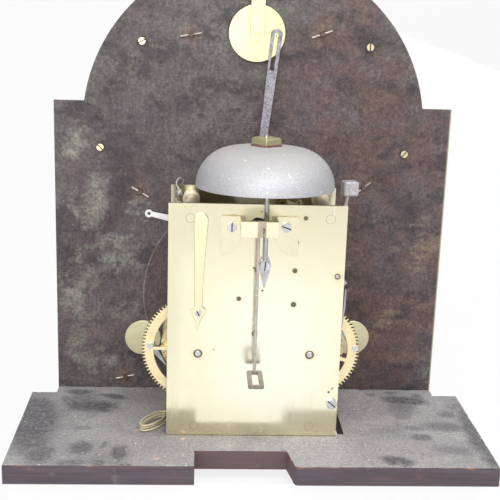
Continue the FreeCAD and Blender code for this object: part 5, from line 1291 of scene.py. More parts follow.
@dataclass
class Seatboard:
    """Old board: an outline carried down a worn edge profile, with slots and hook holes through it."""

    half: float = 172.0
    rear: float = -48.5
    ear: float = 79.5
    tongue: float = 152.5
    notch: tuple[float, float, float, float] = (-41.2, 24.2, 28.2, -24.4)
    slot_y: Pair = (4.0, 62.0)
    slots: tuple[Pair, ...] = ((-24.0, -11.4), (56.4, 69.0))
    hook_holes: tuple[Pair, ...] = ((-35.8, 34.0), (35.8, 34.0))
    hook_r: float = 1.6
    hook_around: int = 24
    sink: Pair = (7.0, 6.0)
    step: float = 2.5
    edge_rings: tuple[Triple, ...] = (
        (1.3, 0.0, 1.0), (0.45, -0.10, 0.6), (0.10, -0.5, 0.25), (0.0, -1.4, 0.0), (0.0, -7.5, 0.0),
        (0.0, -13.8, 0.0), (0.25, -14.7, 0.1), (1.0, -BOARD_T, 0.2))

    def outline(self) -> np.ndarray:
        """Corners of the board, counter-clockwise from above.

        Returns:
            Array of shape (n, 2).
        """
        left, right, flare, deep = self.notch
        worn = [(flare - 0.75, self.rear + 4.5), (flare - 0.3, self.rear + 2.2),
                (flare + 1.0, self.rear + 0.6)]
        return np.array([
            (-self.half, self.rear), (left, self.rear), (left, deep), (right, deep), *worn,
            (flare + 3.4, self.rear), (self.half, self.rear), (self.half, self.ear),
            (self.tongue, self.ear), (self.tongue, DIAL_BACK), (-self.tongue, DIAL_BACK),
            (-self.tongue, self.ear), (-self.half, self.ear)])

    def walk(self, corners: np.ndarray) -> Skin:
        """Points every few millimetres along a closed outline, and outward directions.

        Args:
            corners: array of shape (n, 2), counter-clockwise.
        Returns:
            Points and directions; a corner's direction is long enough to keep both its edges straight.
        """
        ahead = np.roll(corners, -1, axis=0) - corners
        long = np.linalg.norm(ahead, axis=1)
        normal = np.stack([ahead[:, 1], -ahead[:, 0]], axis=1) / long[:, None]
        before = np.roll(normal, 1, axis=0)
        mitre = (normal + before) / (1.0 + np.sum(normal * before, axis=1, keepdims=True))
        pts, dirs = [], []
        for c, d, length, n, m in zip(corners, ahead, long, normal, mitre):
            t = np.linspace(0, 1, max(2, int(length / self.step)) + 1)[:-1, None]
            pts.append(c + t * d)
            dirs.append(np.where(t == 0, m, n))
        return np.concatenate(pts), np.concatenate(dirs)

    def wear(self, pts: np.ndarray) -> np.ndarray:
        """Depth of wear along the top edge: waves of several lengths, squared so that chips stay rare.

        Args:
            pts: points along the edge.
        Returns:
            Depth at each point.
        """
        s = np.cumsum(np.linalg.norm(np.diff(pts, axis=0, prepend=pts[:1]), axis=1))
        waves = np.sin(s / 7.3) + np.sin(s / 3.1 + 1.7) + np.sin(s / 17.9 + 0.4) + np.sin(s / 1.9 + 4.0)
        return 0.35 + 0.16 * np.clip(waves, 0, None) ** 2

    def board(self) -> bpy.types.Object:
        """Whole board: worn edge rings, hole walls, and flat faces between them.

        Returns:
            The piece.
        """
        edge, out = self.walk(self.outline())
        wear = self.wear(edge)[:, None]
        walls = [np.column_stack([edge - out * (inset + k * wear), z - 0.5 * k * wear * (z < 0)])
                 for inset, z, k in self.edge_rings]
        holes = []
        for x0, x1 in self.slots:
            y0, y1 = self.slot_y
            loop = np.array([(x0, y0), (x0, y1), (x1, y1), (x1, y0)])
            holes.append([(loop, 0.0), (loop, -BOARD_T)])
        a = np.linspace(0, -2 * math.pi, self.hook_around, endpoint=False)
        round_loop = np.stack([np.cos(a), np.sin(a)], axis=1)
        seat = self.sink[1] - BOARD_T
        for at in np.array(self.hook_holes):
            small, large = at + self.hook_r * round_loop, at + self.sink[0] * round_loop
            holes.append([(small, 0.0), (small, seat), (large, seat), (large, -BOARD_T)])
        points = [np.concatenate(walls)]
        faces = grid_faces(len(walls), len(edge), False, True).tolist()
        top = [np.arange(len(edge))]
        low = [np.arange(len(edge)) + (len(walls) - 1) * len(edge)]
        base = len(points[0])
        for hole in holes:
            n, steps = len(hole[0][0]), len(hole)
            points += [np.column_stack([loop, np.full(n, z)]) for loop, z in hole]
            faces += (grid_faces(steps, n, False, True) + base).tolist()
            top.append(np.arange(n) + base)
            low.append(np.arange(n) + base + (steps - 1) * n)
            base += steps * n
        pts = np.concatenate(points)
        level = pts * (1.0, 1.0, 0.0)
        for loops in (top, low):
            index = np.concatenate(loops)
            cap = tessellate_polygon([level[loop].tolist() for loop in loops])
            faces += [[int(index[i]) for i in tri] for tri in cap]
        obj = lay_mesh("seatboard_worn", pts, faces, 40.0)
        outward(obj)
        return obj

    def build(self) -> None:
        """Make the board."""
        finish_piece(self.board(), OldBoard(), "frame", "oak", "seatboard")


@dataclass
class GutLine:
    """Gut line: the coil on the going barrel and the loose end with its hank on the board."""

    diameter: float = 1.4
    pitch: float = 1.9
    turns: int = 11
    coil_r: float = 25.75
    last_y: float = 29.0
    per_turn: int = 16
    hank_loops: int = 3
    hank_axis: float = math.radians(236.0)
    hank_long: float = 14.2
    hank_wide: float = 5.2
    hank_neck: Pair = (-64.6, 28.0)

    def lead(self) -> np.ndarray:
        """Route of the line from the barrel down to the board, over the pillar.

        Returns:
            Control points.
        """
        return np.array([
            (GOING[0] + self.coil_r + 0.3, self.last_y - self.pitch, GOING[1] - self.diameter - 0.6),
            (-13.8, 26.6, 47.5), (-14.6, 26.2, 32.5), (-19.5, 25.0, 21.5), (-32.0, 22.6, 18.6),
            (-44.5, 21.0, 17.0), (-55.0, 21.2, 9.5)])

    def hank(self) -> np.ndarray:
        """Flat loops that drop by a pitch a turn: an ellipse whose width changes slowly with the turn.

        Returns:
            Control points.
        """
        t = np.linspace(0, 2 * math.pi * self.hank_loops, self.per_turn * self.hank_loops + 1)
        u = self.hank_long * (1.0 - np.cos(t))
        w = -(self.hank_wide + 0.9 * np.cos(t / 3)) * np.sin(t)
        c, s = math.cos(self.hank_axis), math.sin(self.hank_axis)
        top = self.diameter / 2 + 0.05 + self.pitch * self.hank_loops
        return np.stack([self.hank_neck[0] + u * c - w * s, self.hank_neck[1] + u * s + w * c,
                         top - self.pitch * t / (2 * math.pi)], axis=1)

    def coil(self) -> np.ndarray:
        """Helix on the barrel, from its front end to the turn that the line leaves by.

        Returns:
            Control points.
        """
        a = np.linspace(2 * math.pi * self.turns, 0, self.per_turn * self.turns + 1)
        return np.stack([GOING[0] + self.coil_r * np.cos(a), self.last_y + self.pitch * a / (2 * math.pi),
                         GOING[1] + self.coil_r * np.sin(a)], axis=1)

    def spline(self, name: str, route: np.ndarray) -> bpy.types.Object:
        """Smooth round line with the route's points as its control points.

        Args:
            name: the piece's name.
            route: control points in millimetres.
        Returns:
            The piece.
        """
        curve = bpy.data.curves.new(name, "CURVE")
        curve.dimensions = "3D"
        curve.bevel_depth = self.diameter / 2 * MM
        curve.bevel_resolution = 4
        curve.use_fill_caps = True
        line = curve.splines.new("NURBS")
        line.points.add(len(route) - 1)
        flat = np.column_stack([place(route), np.ones(len(route))]).ravel()
        line.points.foreach_set("co", flat)
        line.order_u = 3
        line.use_endpoint_u = True
        line.resolution_u = 4
        return linked(name, curve)

    def length(self, obj: bpy.types.Object) -> float:
        """Length in metres of a line's spline.

        Args:
            obj: the line.
        Returns:
            Metres.
        """
        bare = obj.data.copy()
        bare.bevel_depth = 0.0
        co, _ = as_drawn(bare)
        return float(np.linalg.norm(np.diff(co, axis=0), axis=1).sum())

    def build(self) -> None:
        """Make the coil and the loose end."""
        coil_route = self.coil()
        loose_route = np.concatenate([self.lead(), self.hank()])
        runs = (("gut_line_wound", coil_route, "going_barrel", "line_wound", "coiled", "object", 900.0),
                ("gut_line_loose", loose_route, "frame", "line_hank", "loose", "bare", 150.0))
        for name, route, body, node, lay, end, twists in runs:
            obj = self.spline(name, route)
            finish_piece(obj, Gut(name + "_gut", twists), body, "gut", node)
            self.length(obj)


FaceTest = Callable[[np.ndarray], np.ndarray]
Span = tuple[int, float, float]


@dataclass(frozen=True)
class Patch:
    """Finish of some faces of a piece, picked by their middles in the movement's millimetres."""

    finish: Finish
    where: FaceTest


def in_slots(*screws: tuple[float, float, float, float]) -> FaceTest:
    """Test for faces inside the slots of screws.

    Args:
        screws: (x, z, head radius, y of the head's outer face) of each screw that points to the rear.
    Returns:
        Function from face middles of shape (n, 3) to n truth values.
    """
    def test(mid: np.ndarray) -> np.ndarray:
        """Faces inside the slots.

        Args:
            mid: face middles.
        Returns:
            Truth values.
        """
        hit = np.zeros(len(mid), bool)
        for x, z, r, y in screws:
            near = np.hypot(mid[:, 0] - x, mid[:, 2] - z) < SLOT_REACH * r
            hit |= near & (mid[:, 1] > y + SLOT_DEPTH[0]) & (mid[:, 1] < y + SLOT_DEPTH[1])
        return hit
    return test


def within(*spans: Span) -> FaceTest:
    """Test for faces between two values along each axis that is named."""
    return lambda mid: np.all([(mid[:, k] > low) & (mid[:, k] < high) for k, low, high in spans], axis=0)


def near_axis(x: float, z: float, r: float, y_most: float) -> FaceTest:
    """Test for faces within a radius of an axis along Y and behind a height."""
    return lambda mid: (np.hypot(mid[:, 0] - x, mid[:, 2] - z) < r) & (mid[:, 1] < y_most)


def on_arbor(x: float, z: float, y0: float, y1: float) -> FaceTest:
    """Test for faces of a steel arbor and its pinion, off a brass wheel between y0 and y1.

    Args:
        x, z: the arbor.
        y0, y1: faces of its wheel.
    Returns:
        Function from face middles of shape (n, 3) to n truth values.
    """
    def test(mid: np.ndarray) -> np.ndarray:
        """Faces of the steel.

        Args:
            mid: face middles.
        Returns:
            Truth values.
        """
        r = np.hypot(mid[:, 0] - x, mid[:, 2] - z)
        clear = (mid[:, 1] < y0 - COLLET[0]) | (mid[:, 1] > y1 + COLLET[1])
        return (r < ARBOR_R) | (clear & (r < PINION_R) & (y0 < NO_WHEEL))
    return test


def softened(node: str, width: float, finish: Finish, body: str, slot: str, patches: Sequence[Patch] = (),
             rim: Sequence[Finish] = ()) -> None:
    """Copy of a CAD node, merged into one skin, with its edges broken by a small bevel.

    Args:
        node: CAD node.
        width: bevel in millimetres.
        finish, body, slot: as in finish_piece.
        patches: faces with a finish of their own.
        rim: one finish for the bevel, or none; the callers use it to paint a dark outline of shade along the
            edges.
    """
    bm = bmesh.new()
    bm.from_mesh(frame["nodes"][node].data)
    bmesh.ops.remove_doubles(bm, verts=bm.verts, dist=CAD_DOUBLES_M)
    bmesh.ops.dissolve_limit(bm, angle_limit=FLAT_TURN, verts=bm.verts, edges=bm.edges)
    mesh = bpy.data.meshes.new(node + "_made")
    bm.to_mesh(mesh)
    bm.free()
    mesh.shade_smooth()
    mesh.set_sharp_from_angle(angle=SHARP_TURN)
    mid = np.empty(3 * len(mesh.polygons))
    mesh.polygons.foreach_get("center", mid)
    mid = mid.reshape(-1, 3) / MM - SHIFT
    pick = np.zeros(len(mid), np.int32)
    for k, patch in enumerate(patches, 1):
        pick[patch.where(mid)] = k
    obj = linked(node + "_made", mesh)
    finish_piece(obj, finish, body, slot, node, more=[*(q.finish for q in patches), *rim])
    mesh.polygons.foreach_set("material_index", pick)
    if width > 0:
        bevel = obj.modifiers.new("edges", "BEVEL")
        bevel.width = width * MM
        bevel.segments = 2
        bevel.limit_method = "ANGLE"
        bevel.angle_limit = SHARP_TURN
        bevel.use_clamp_overlap = True
        bevel.harden_normals = False
        bevel.material = len(patches) + 1 if rim else -1


@dataclass
class MovementWork:
    """Metal of the movement and of the dial's back: each CAD node with its edges and its finish."""

    edge: float = 0.25
    fine: float = 0.12
    click_r: float = 34.6
    rivet: Pair = (2.6, 10.05)
    pillar_ends: Span = (1, -FAR, 0.5)
    plate_inside: Span = (1, 2.6, FAR)
    bar: Span = (1, -FAR, -18.0)
    groove: tuple[Span, Span] = ((0, -1.45, 4.35), (1, -20.3, -19.7))
    cheeks: tuple[Span, Span] = ((2, 165.0, FAR), (1, -19.0, -1.0))
    loop: Span = (2, -FAR, 61.0)
    plate_screws: tuple[tuple[float, float, float, float], ...] = (
        (-18.3, 158.0, 3.4, -5.2), (19.6, 158.3, 3.4, -5.2), (5.5, 130.7, 3.4, -5.9),
        (-40.5, 94.6, 2.2, -2.9), (58.0, 26.2, 3.8, -2.2), (0.0, 316.5, 2.6, 80.8))
    spandrel_screws: tuple[tuple[float, float, float, float], ...] = tuple(
        (x, z, 3.4, DIAL_BACK - 2.6) for x, z in SPANDREL_SCREWS)
    train: tuple[tuple[str, float, float, float, float], ...] = (
        ("third_wheel", -12.0, 105.2, 46.0, 47.6), ("pin_wheel", 27.0, 101.5, 59.4, 61.2),
        ("locking_wheel", 27.0, 126.4, 35.0, 36.6), ("warning_wheel", 27.2, 146.9, 50.0, 51.4),
        ("fly", 33.1, 164.4, NO_WHEEL, NO_WHEEL))

    def table(self) -> list[tuple[str, float, Finish]]:
        """Node, bevel and finish of each piece.

        Returns:
            Rows of node, bevel in millimetres and finish.
        """
        e, f = self.edge, self.fine
        rows = [("back_plate", e, BACK_PLATE), ("front_plate", e, FRONT_PLATE), ("bell_nut", 0.4, NUT_BRASS)]
        rows += [("back_cock", 0.4, COCK_BRASS), ("leaf_spring", 0.4, LEAF_BRASS),
                 ("arch_cock", 0.4, ARCH_BRASS)]
        rows += [("hour_bridge", e, COCK_BRASS), ("silent_disc", 0.3, ARCH_BRASS)]
        rows += [("plate_pillars", 0.0, PILLAR_BRASS), ("dial_feet", 0.0, DULL_BRASS),
                 ("dial_discs", e, DISC_BRASS)]
        rows += [("spandrel_screws", 0.18, SCREW_BRASS), ("dial_plate", e, DialBrass())]
        rows += [(n, f, WHEEL_BRASS) for n in (
            "going_great_wheel", "strike_great_wheel", "centre_wheel", "third_wheel", "escape_wheel",
            "cannon_wheel", "minute_wheel", "hour_wheel", "pin_wheel", "locking_wheel", "warning_wheel",
            "fly")]
        rows += [(n, f, BARREL_BRASS) for n in ("going_barrel", "strike_barrel")]
        rows += [(n, 0.15, STEEL) for n in (
            "seat_hooks", "hammer_spring", "work_studs", "centre_arbor", "escape_arbor", "pallet_anchor",
            "going_click", "strike_click", "rack", "lifting_piece")]
        rows += [(n, 0.3, BRIGHT_STEEL) for n in ("going_arbor", "strike_arbor")]
        rows += [("crutch", 0.3, CRUTCH_STEEL), ("hook_spring", 0.0, STEEL), ("bell_stand", 0.2, ROD_STEEL)]
        rows += [("taper_pins", 0.0, PIN_STEEL), ("plate_screws", 0.2, BRIGHT_STEEL),
                 ("rack_hook", 0.15, HOOK_STEEL)]
        rows += [("hammer", 0.3, HAMMER_IRON), ("silent_lever", 0.2, LEVER_IRON)]
        rows += [(n, 0.2, BluedSteel()) for n in ("hour_hand", "minute_hand", "seconds_hand", "silent_hand")]
        rows += [("chapter_ring", 0.2, Silvered("silvered_chapter", CENTRE))]
        rows += [("small_rings", 0.2, Silvered("silvered_rings", ARCH))]
        return rows

    def patches(self) -> dict[str, list[Patch]]:
        """Faces with a finish of their own: painted shade in slots, on the back plate's inner face and on
        parts of the cock, a painted highlight on its bar, rivets, pillar ends, arbors and the crutch.

        Returns:
            Patches of each node that has some.
        """
        found: dict[str, list[Patch]] = {}
        for node, (x, z), deg in (("going_great_wheel", GOING, 177.0), ("strike_great_wheel", STRIKE, 3.0)):
            a = math.radians(deg)
            spot = (x + self.click_r * math.cos(a), z + self.click_r * math.sin(a))
            found[node] = [Patch(BRIGHT_STEEL, near_axis(*spot, *self.rivet))]
        # Painted shade in the slots of the screws.
        found["plate_screws"] = [Patch(SLOT_SHADE, in_slots(*self.plate_screws))]
        found["spandrel_screws"] = [Patch(SLOT_SHADE, in_slots(*self.spandrel_screws))]
        found["plate_pillars"] = [Patch(BACK_PLATE, within(self.pillar_ends))]
        # Painted shade on the back plate's inner face.
        found["back_plate"] = [Patch(SHADED_INSIDE_BRASS, within(self.plate_inside))]
        # Painted highlight on the cock's bar, painted shade in its groove and on its cheeks.
        found["back_cock"] = [Patch(LIT_BAR_BRASS, within(self.bar)), Patch(SHADED_GROOVE_BRASS, within(*self.groove)),
                              Patch(SHADED_TOP_BRASS, within(*self.cheeks))]
        found["crutch"] = [Patch(LOOP_STEEL, within(self.loop))]
        for node, x, z, y0, y1 in self.train:
            found[node] = [Patch(PIVOT_STEEL, on_arbor(x, z, y0, y1))]
        return found

    def build(self) -> None:
        """Make every piece of the table."""
        bodies = frame["record"]["behaviour"]["bodies"]
        body_of = {node: body for body, nodes in bodies.items() for node in nodes}
        slot_of = {row["node"]: row["material_slot"] for row in frame["record"]["subparts"]}
        patches = self.patches()
        # The bevels of these pieces are painted as dark outlines of shade.
        painted_outlines = {"back_cock": OUTLINE_SHADE_BRASS, "arch_cock": OUTLINE_SHADE_BRASS, "plate_screws": OUTLINE_SHADE_STEEL}
        for node, width, finish in self.table():
            softened(node, width, finish, body_of[node], slot_of[node], patches.get(node, ()),
                     (painted_outlines[node],) if node in painted_outlines else ())


class Figure(Enum):
    """Letters of the hour figures, as strokes: (from, to, width), in shares of the figure's height."""

    I = (((0.14, 0.0), (0.14, 1.0), 0.15), ((0.0, 0.02), (0.28, 0.02), 0.04),
         ((0.0, 0.98), (0.28, 0.98), 0.04))
    V = (((0.12, 1.0), (0.36, 0.0), 0.15), ((0.36, 0.0), (0.60, 1.0), 0.05),
         ((0.0, 0.98), (0.28, 0.98), 0.04), ((0.46, 0.98), (0.72, 0.98), 0.04))
    X = (
        ((0.12, 1.0), (0.60, 0.0), 0.15), ((0.12, 0.0), (0.60, 1.0), 0.05),
        ((0.0, 0.98), (0.28, 0.98), 0.04), ((0.46, 0.98), (0.72, 0.98), 0.04),
        ((0.0, 0.02), (0.26, 0.02), 0.04), ((0.46, 0.02), (0.74, 0.02), 0.04))


@dataclass
class DialFace:
    """Front of the dial: figures and tracks in black wax, turned winding holes and cast spandrels."""

    figure_in: float = 104.0
    figure_h: float = 17.0
    track_in: float = 123.6
    track_out: float = 127.6
    minutes_r: float = 129.3
    minutes_h: float = 4.816
    outer_line: float = 135.6
    quarters: Pair = (99.4, 102.2)
    diamond_r: float = 112.5
    diamonds: tuple[Pair, ...] = ((4.2, 0.5), (1.6, 0.47), (1.6, 0.53))
    seconds: Triple = (20.0, 24.0, 25.6)
    seconds_number: Pair = (20.8, 2.6)
    arch_lines: Triple = (42.0, 46.0, 52.6)
    arch_diamond_r: float = 47.3
    arch_diamond: float = 3.0
    line_w: float = 0.35
    thin_w: float = 0.3
    hair_w: float = 0.2
    minute_w: float = 0.5
    quarter_w: float = 0.4
    second_w: float = 0.25
    letter_gap: float = 0.06
    hole_ring: Pair = (6.6, 10.2)
    hole_steps: int = 19
    hole_around: int = 72
    wax_t: float = 0.06
    corner: float = 117.5
    corner_size: Pair = (14.0, 4.1)
    corner_leaves: tuple[Triple, ...] = ((25.0, -50, 6), (25.0, 140, 6), (15.0, 45, 4), (4.0, 225, 4))
    arch_screw: Pair = (86.0, 277.5)
    arch_size: Pair = (9.0, 3.7)
    arch_leaves: tuple[Triple, ...] = ((12.0, 127, 4), (24.0, -53, 6), (5.0, 37, 4))
    leaf_around: int = 160
    leaf_rings: int = 26
    leaf_bed: float = 0.01
    hours: tuple[str, ...] = ("XII", "I", "II", "III", "IIII", "V", "VI", "VII", "VIII", "IX", "X", "XI")

    def clock_point(self, centre: Pair, r: np.ndarray, a: np.ndarray, y: float) -> np.ndarray:
        """Place at a radius and an angle clockwise from the top, from the front: (-r sin a, r cos a)."""
        return np.stack([centre[0] - r * np.sin(a), np.full_like(r, y), centre[1] + r * np.cos(a)], axis=-1)

    def bars(self, centre: Pair, quads: np.ndarray, y: float) -> Skin:
        """Thin raised bars from quads given as (radius, angle) corners.

        Args:
            centre: the ring's centre.
            quads: array of shape (n, 4, 2), clockwise as seen from the front.
            y: height of the ring's face.
        Returns:
            Points and faces of closed boxes.
        """
        n = len(quads)
        low = self.clock_point(centre, quads[:, :, 0], quads[:, :, 1], y - self.wax_t)
        high = self.clock_point(centre, quads[:, :, 0], quads[:, :, 1], y + self.wax_t)
        pts = np.concatenate([low, high], axis=1).reshape(-1, 3)
        box = np.array([(0, 1, 2, 3), (7, 6, 5, 4), (0, 4, 5, 1), (1, 5, 6, 2), (2, 6, 7, 3), (3, 7, 4, 0)])
        faces = (box[None] + 8 * np.arange(n)[:, None, None]).reshape(-1, 4)
        return pts, faces

    def strokes(self, text: str, hour: float) -> np.ndarray:
        """Quads of one hour figure, bent to the ring and standing with its foot to the centre.

        Args:
            text: letters of the figure.
            hour: its place, 0 at the top.
        Returns:
            Array of shape (n, 4, 2), (radius, angle) of each corner.
        """
        gap = self.letter_gap
        widths = [max(max(p[0], q[0]) for p, q, _ in Figure[c].value) for c in text]
        x = -(sum(widths) + gap * (len(text) - 1)) / 2
        quads = []
        for letter, width in zip(text, widths):
            for p, q, thick in Figure[letter].value:
                p0 = np.array([p[0] + x, p[1]])
                q0 = np.array([q[0] + x, q[1]])
                d = (q0 - p0) / np.linalg.norm(q0 - p0)
                flat = abs(d[1]) < 0.2
                side = np.array([0.0, thick / 2]) if flat else np.array([thick / 2 / abs(d[1]), 0.0])
                quads.append([p0 - side, p0 + side, q0 + side, q0 - side])
            x += width + gap
        flat_quads = np.array(quads) * self.figure_h
        r = self.figure_in + flat_quads[:, :, 1]
        a = math.radians(30.0 * hour) + flat_quads[:, :, 0] / (self.figure_in + self.figure_h / 2)
        return np.stack([r, a], axis=2)

    def ticks(self, r0: float, r1: float, count: int, width: float) -> np.ndarray:
        """Evenly spaced radial bars.

        Args:
            r0, r1: inner and outer ends.
            count: how many.
            width: across each.
        Returns:
            Array of shape (n, 4, 2), (radius, angle) of each corner.
        """
        a = 2 * math.pi * np.arange(count) / count
        half = width / 2 / r1
        return np.stack([np.stack([np.full(count, r), a + s * half], 1)
                         for r, s in ((r0, -1), (r0, 1), (r1, 1), (r1, -1))], axis=1)

    def hoop(self, r: float, width: float, count: int = 180) -> np.ndarray:
        """Thin circle as short bars end to end.

        Args:
            r: inner radius.
            width: across the line.
            count: how many bars.
        Returns:
            Array of shape (n, 4, 2), (radius, angle) of each corner.
        """
        a = 2 * math.pi * np.arange(count) / count
        b = a + 2 * math.pi / count
        return np.stack([np.stack([np.full(count, q), e], 1)
                         for q, e in ((r, a), (r, b), (r + width, b), (r + width, a))], axis=1)

    def lozenges(self, r: float, size: float, count: int, offset: float) -> np.ndarray:
        """Diamond marks between the figures.

        Args:
            r: radius of their middles.
            size: half their length.
            count: how many.
            offset: turn, as a share of the spacing.
        Returns:
            Array of shape (n, 4, 2), (radius, angle) of each corner.
        """
        a = 2 * math.pi * (np.arange(count) + offset) / count
        return np.stack([np.stack([np.full(count, r + dr), a + da / r], 1)
                         for dr, da in ((-size, 0), (0, size * 0.45), (size, 0), (0, -size * 0.45))], axis=1)

    def wax(self, name: str, centre: Pair, groups: Sequence[np.ndarray]) -> None:
        """One piece of black wax from groups of bars, on a ring's face.

        Args:
            name: the piece's name.
            centre: the ring's centre.
            groups: quads of the bars.
        """
        pts, faces = self.bars(centre, np.concatenate(groups), RING_FRONT)
        obj = lay_mesh(name, pts, faces)
        outward(obj, merge=False)
        finish_piece(obj, BlackWax(), "frame", "silvered")

    def numbers(self, name: str, centre: Pair, radius: float, height: float, count: int, step: int) -> None:
        """Small numbers round a ring, each upright along its own radius.

        Args:
            name: the piece's name.
            centre: the ring's centre.
            radius: foot of the numbers.
            height: their height.
            count: how many.
            step: difference between neighbours.
        """
        pts: list[np.ndarray] = []
        faces: list[list[int]] = []
        base = 0
        for k in range(1, count + 1):
            text = bpy.data.curves.new("number", "FONT")
            text.body = str(k * step)
            text.align_x = "CENTER"
            text.size = 1.0
            text.extrude = 0.01
            text.resolution_u = 3
            co, loops = as_drawn(text)
            scale = height / CAPITAL_H
            r = radius + co[:, 1] * scale
            a = 2 * math.pi * k / count + co[:, 0] * scale / (radius + height / 2)
            spot = self.clock_point(centre, r, a, RING_FRONT)
            spot[:, 1] += np.where(co[:, 2] > 0, self.wax_t, -self.wax_t)
            pts.append(spot)
            faces += [[base + v for v in loop] for loop in loops]
            base += len(co)
        obj = lay_mesh(name, np.concatenate(pts), faces)
        outward(obj, merge=False)
        finish_piece(obj, BlackWax(), "frame", "silvered")

    def winding_rings(self) -> bpy.types.Object:
        """Turned rings round the winding holes: a wavy (radius, y) profile turned about each axis.

        Returns:
            The piece.
        """
        inner, outer = self.hole_ring
        r = np.linspace(inner, outer, self.hole_steps)
        top = DIAL_FRONT + 0.25 + 0.22 * np.abs(np.sin((r - inner) * math.pi / 1.2))
        low = DIAL_FRONT - 0.02
        loop = np.concatenate([np.stack([r, top], 1), [[outer + 0.2, low], [inner - 0.1, low]]])
        pts, faces = [], []
        for k, (x, z) in enumerate((GOING, STRIKE)):
            p, f = turned(loop, (x, z), 1, self.hole_around)
            pts.append(p)
            faces.append(f + k * len(p))
        obj = lay_mesh("winding_hole_rings", np.concatenate(pts), np.concatenate(faces), 40.0)
        outward(obj)
        return obj

    def casting(self, centre: Pair, flip: tuple[int, int], size: Pair,
                leaves: Sequence[Triple]) -> tuple[np.ndarray, np.ndarray, np.ndarray]:
        """One leafy casting: rings from the middle to a petalled outline, raised in ribs and a central boss.

        The outline is base + sum of length * max(0, cos(a - direction)) ** power + small waves. The height
        falls from the boss to the rim and is folded along each leaf by cosines of the angle.

        Args:
            centre: where its screw is.
            flip: signs along X and Z.
            size: base, the least radius, and height of the boss.
            leaves: (length, direction in degrees, power) of each leaf.
        Returns:
            Points, faces and a relief value for each point.
        """
        (base, high), n, rings = size, self.leaf_around, self.leaf_rings
        a = np.linspace(0, 2 * math.pi, n, endpoint=False)
        edge = base + 0.10 * base * np.cos(9 * a) + 0.05 * base * np.cos(23 * a + 1)
        for length, deg, power in leaves:
            edge = edge + length * np.clip(np.cos(a - math.radians(deg)), 0, None) ** power
        t = np.linspace(0.02, 1.0, rings)[:, None]
        fold = 0.5 + 0.5 * np.cos(18 * a + 9.0 * t * np.sin(2 * a))
        scroll = 0.5 + 0.5 * np.cos(5.0 * t * edge / base * 2.2 + 3 * np.sin(a * 3))
        boss = np.exp(-(t * edge / 5.0) ** 2)
        relief = np.clip(0.28 + 0.34 * fold * np.sin(math.pi * t) + 0.38 * scroll * (1 - t ** 3), 0, 1)
        height = np.maximum(0.7 + 2.0 * relief * np.sqrt(np.clip(1 - t ** 6, 0, 1)), high * boss)
        r = t * edge
        x = centre[0] + flip[0] * r * np.cos(a)
        z = centre[1] + flip[1] * r * np.sin(a)
        skin = np.stack([x, DIAL_FRONT + height, z], axis=2).reshape(-1, 3)
        bed = DIAL_FRONT + self.leaf_bed
        foot = np.stack([x[-1], np.full(n, bed), z[-1]], axis=1)
        tip = np.array([[centre[0], DIAL_FRONT + high, centre[1]], [centre[0], bed, centre[1]]])
        faces = grid_faces(rings, n, False, True).tolist()
        k = rings * n
        last = (rings - 1) * n
        j = np.arange(n)
        nj = (j + 1) % n
        faces += np.stack([last + j, last + nj, k + nj, k + j], 1).tolist()
        faces += np.stack([np.full(n, k + n), nj, j], 1).tolist()
        faces += np.stack([np.full(n, k + n + 1), k + j, k + nj], 1).tolist()
        value = np.concatenate([np.maximum(relief, boss).ravel(), np.zeros(n), [1.0, 0.0]])
        return np.concatenate([skin, foot, tip]), np.array(faces, object), value

    def spandrels(self) -> bpy.types.Object:
        """All six castings as one piece.

        Returns:
            The piece.
        """
        made = []
        for sx in (-1, 1):
            for sz in (-1, 1):
                middle = (sx * self.corner, CENTRE[1] + sz * self.corner)
                made.append(self.casting(middle, (sx, sz), self.corner_size, self.corner_leaves))
        for sx in (-1, 1):
            middle = (sx * self.arch_screw[0], self.arch_screw[1])
            made.append(self.casting(middle, (sx, 1), self.arch_size, self.arch_leaves))
        faces: list[list[int]] = []
        base = 0
        for pts, loops, _ in made:
            faces += [[base + int(i) for i in f] for f in loops]
            base += len(pts)
        obj = lay_mesh("spandrel_castings", np.concatenate([m[0] for m in made]), faces, 55.0)
        relief = obj.data.attributes.new("relief", "FLOAT", "POINT")
        relief.data.foreach_set("value", np.concatenate([m[2] for m in made]).astype(np.float32))
        outward(obj, merge=False)
        return obj

    def build(self) -> None:
        """Make every piece of the dial's front."""
        figures = [self.strokes(text, hour) for hour, text in enumerate(self.hours)]
        inner, outer = self.quarters
        track = [self.ticks(self.track_in, self.track_out, MINUTES, self.minute_w)]
        track += [self.hoop(r, self.line_w) for r in (self.track_in, self.track_out, self.outer_line)]
        track += [self.hoop(outer, self.thin_w), self.hoop(inner, self.thin_w),
                  self.ticks(inner, outer, QUARTERS, self.quarter_w)]
        track += [self.lozenges(self.diamond_r, size, HOURS, turn) for size, turn in self.diamonds]
        self.wax("chapter_figures", CENTRE, figures + track)
        self.numbers("minute_numbers", CENTRE, self.minutes_r, self.minutes_h, HOURS, 5)
        inner, low, high = self.seconds
        self.wax("seconds_track", ESCAPE, [
            self.ticks(low, high, MINUTES, self.second_w),
            *(self.hoop(r, self.hair_w) for r in (low, high, inner))])
        self.numbers("seconds_numbers", ESCAPE, *self.seconds_number, 6, 10)
        inner, low, high = self.arch_lines
        self.wax("arch_track", ARCH, [
            self.hoop(high, self.thin_w), self.hoop(inner, self.thin_w),
            self.ticks(low, high, 2 * HOURS, self.line_w),
            self.lozenges(self.arch_diamond_r, self.arch_diamond, HOURS, 0.25)])
        finish_piece(self.winding_rings(), COCK_BRASS, "frame", "plate_brass")
        finish_piece(self.spandrels(), GiltCasting(), "frame", "gilt", "spandrels")


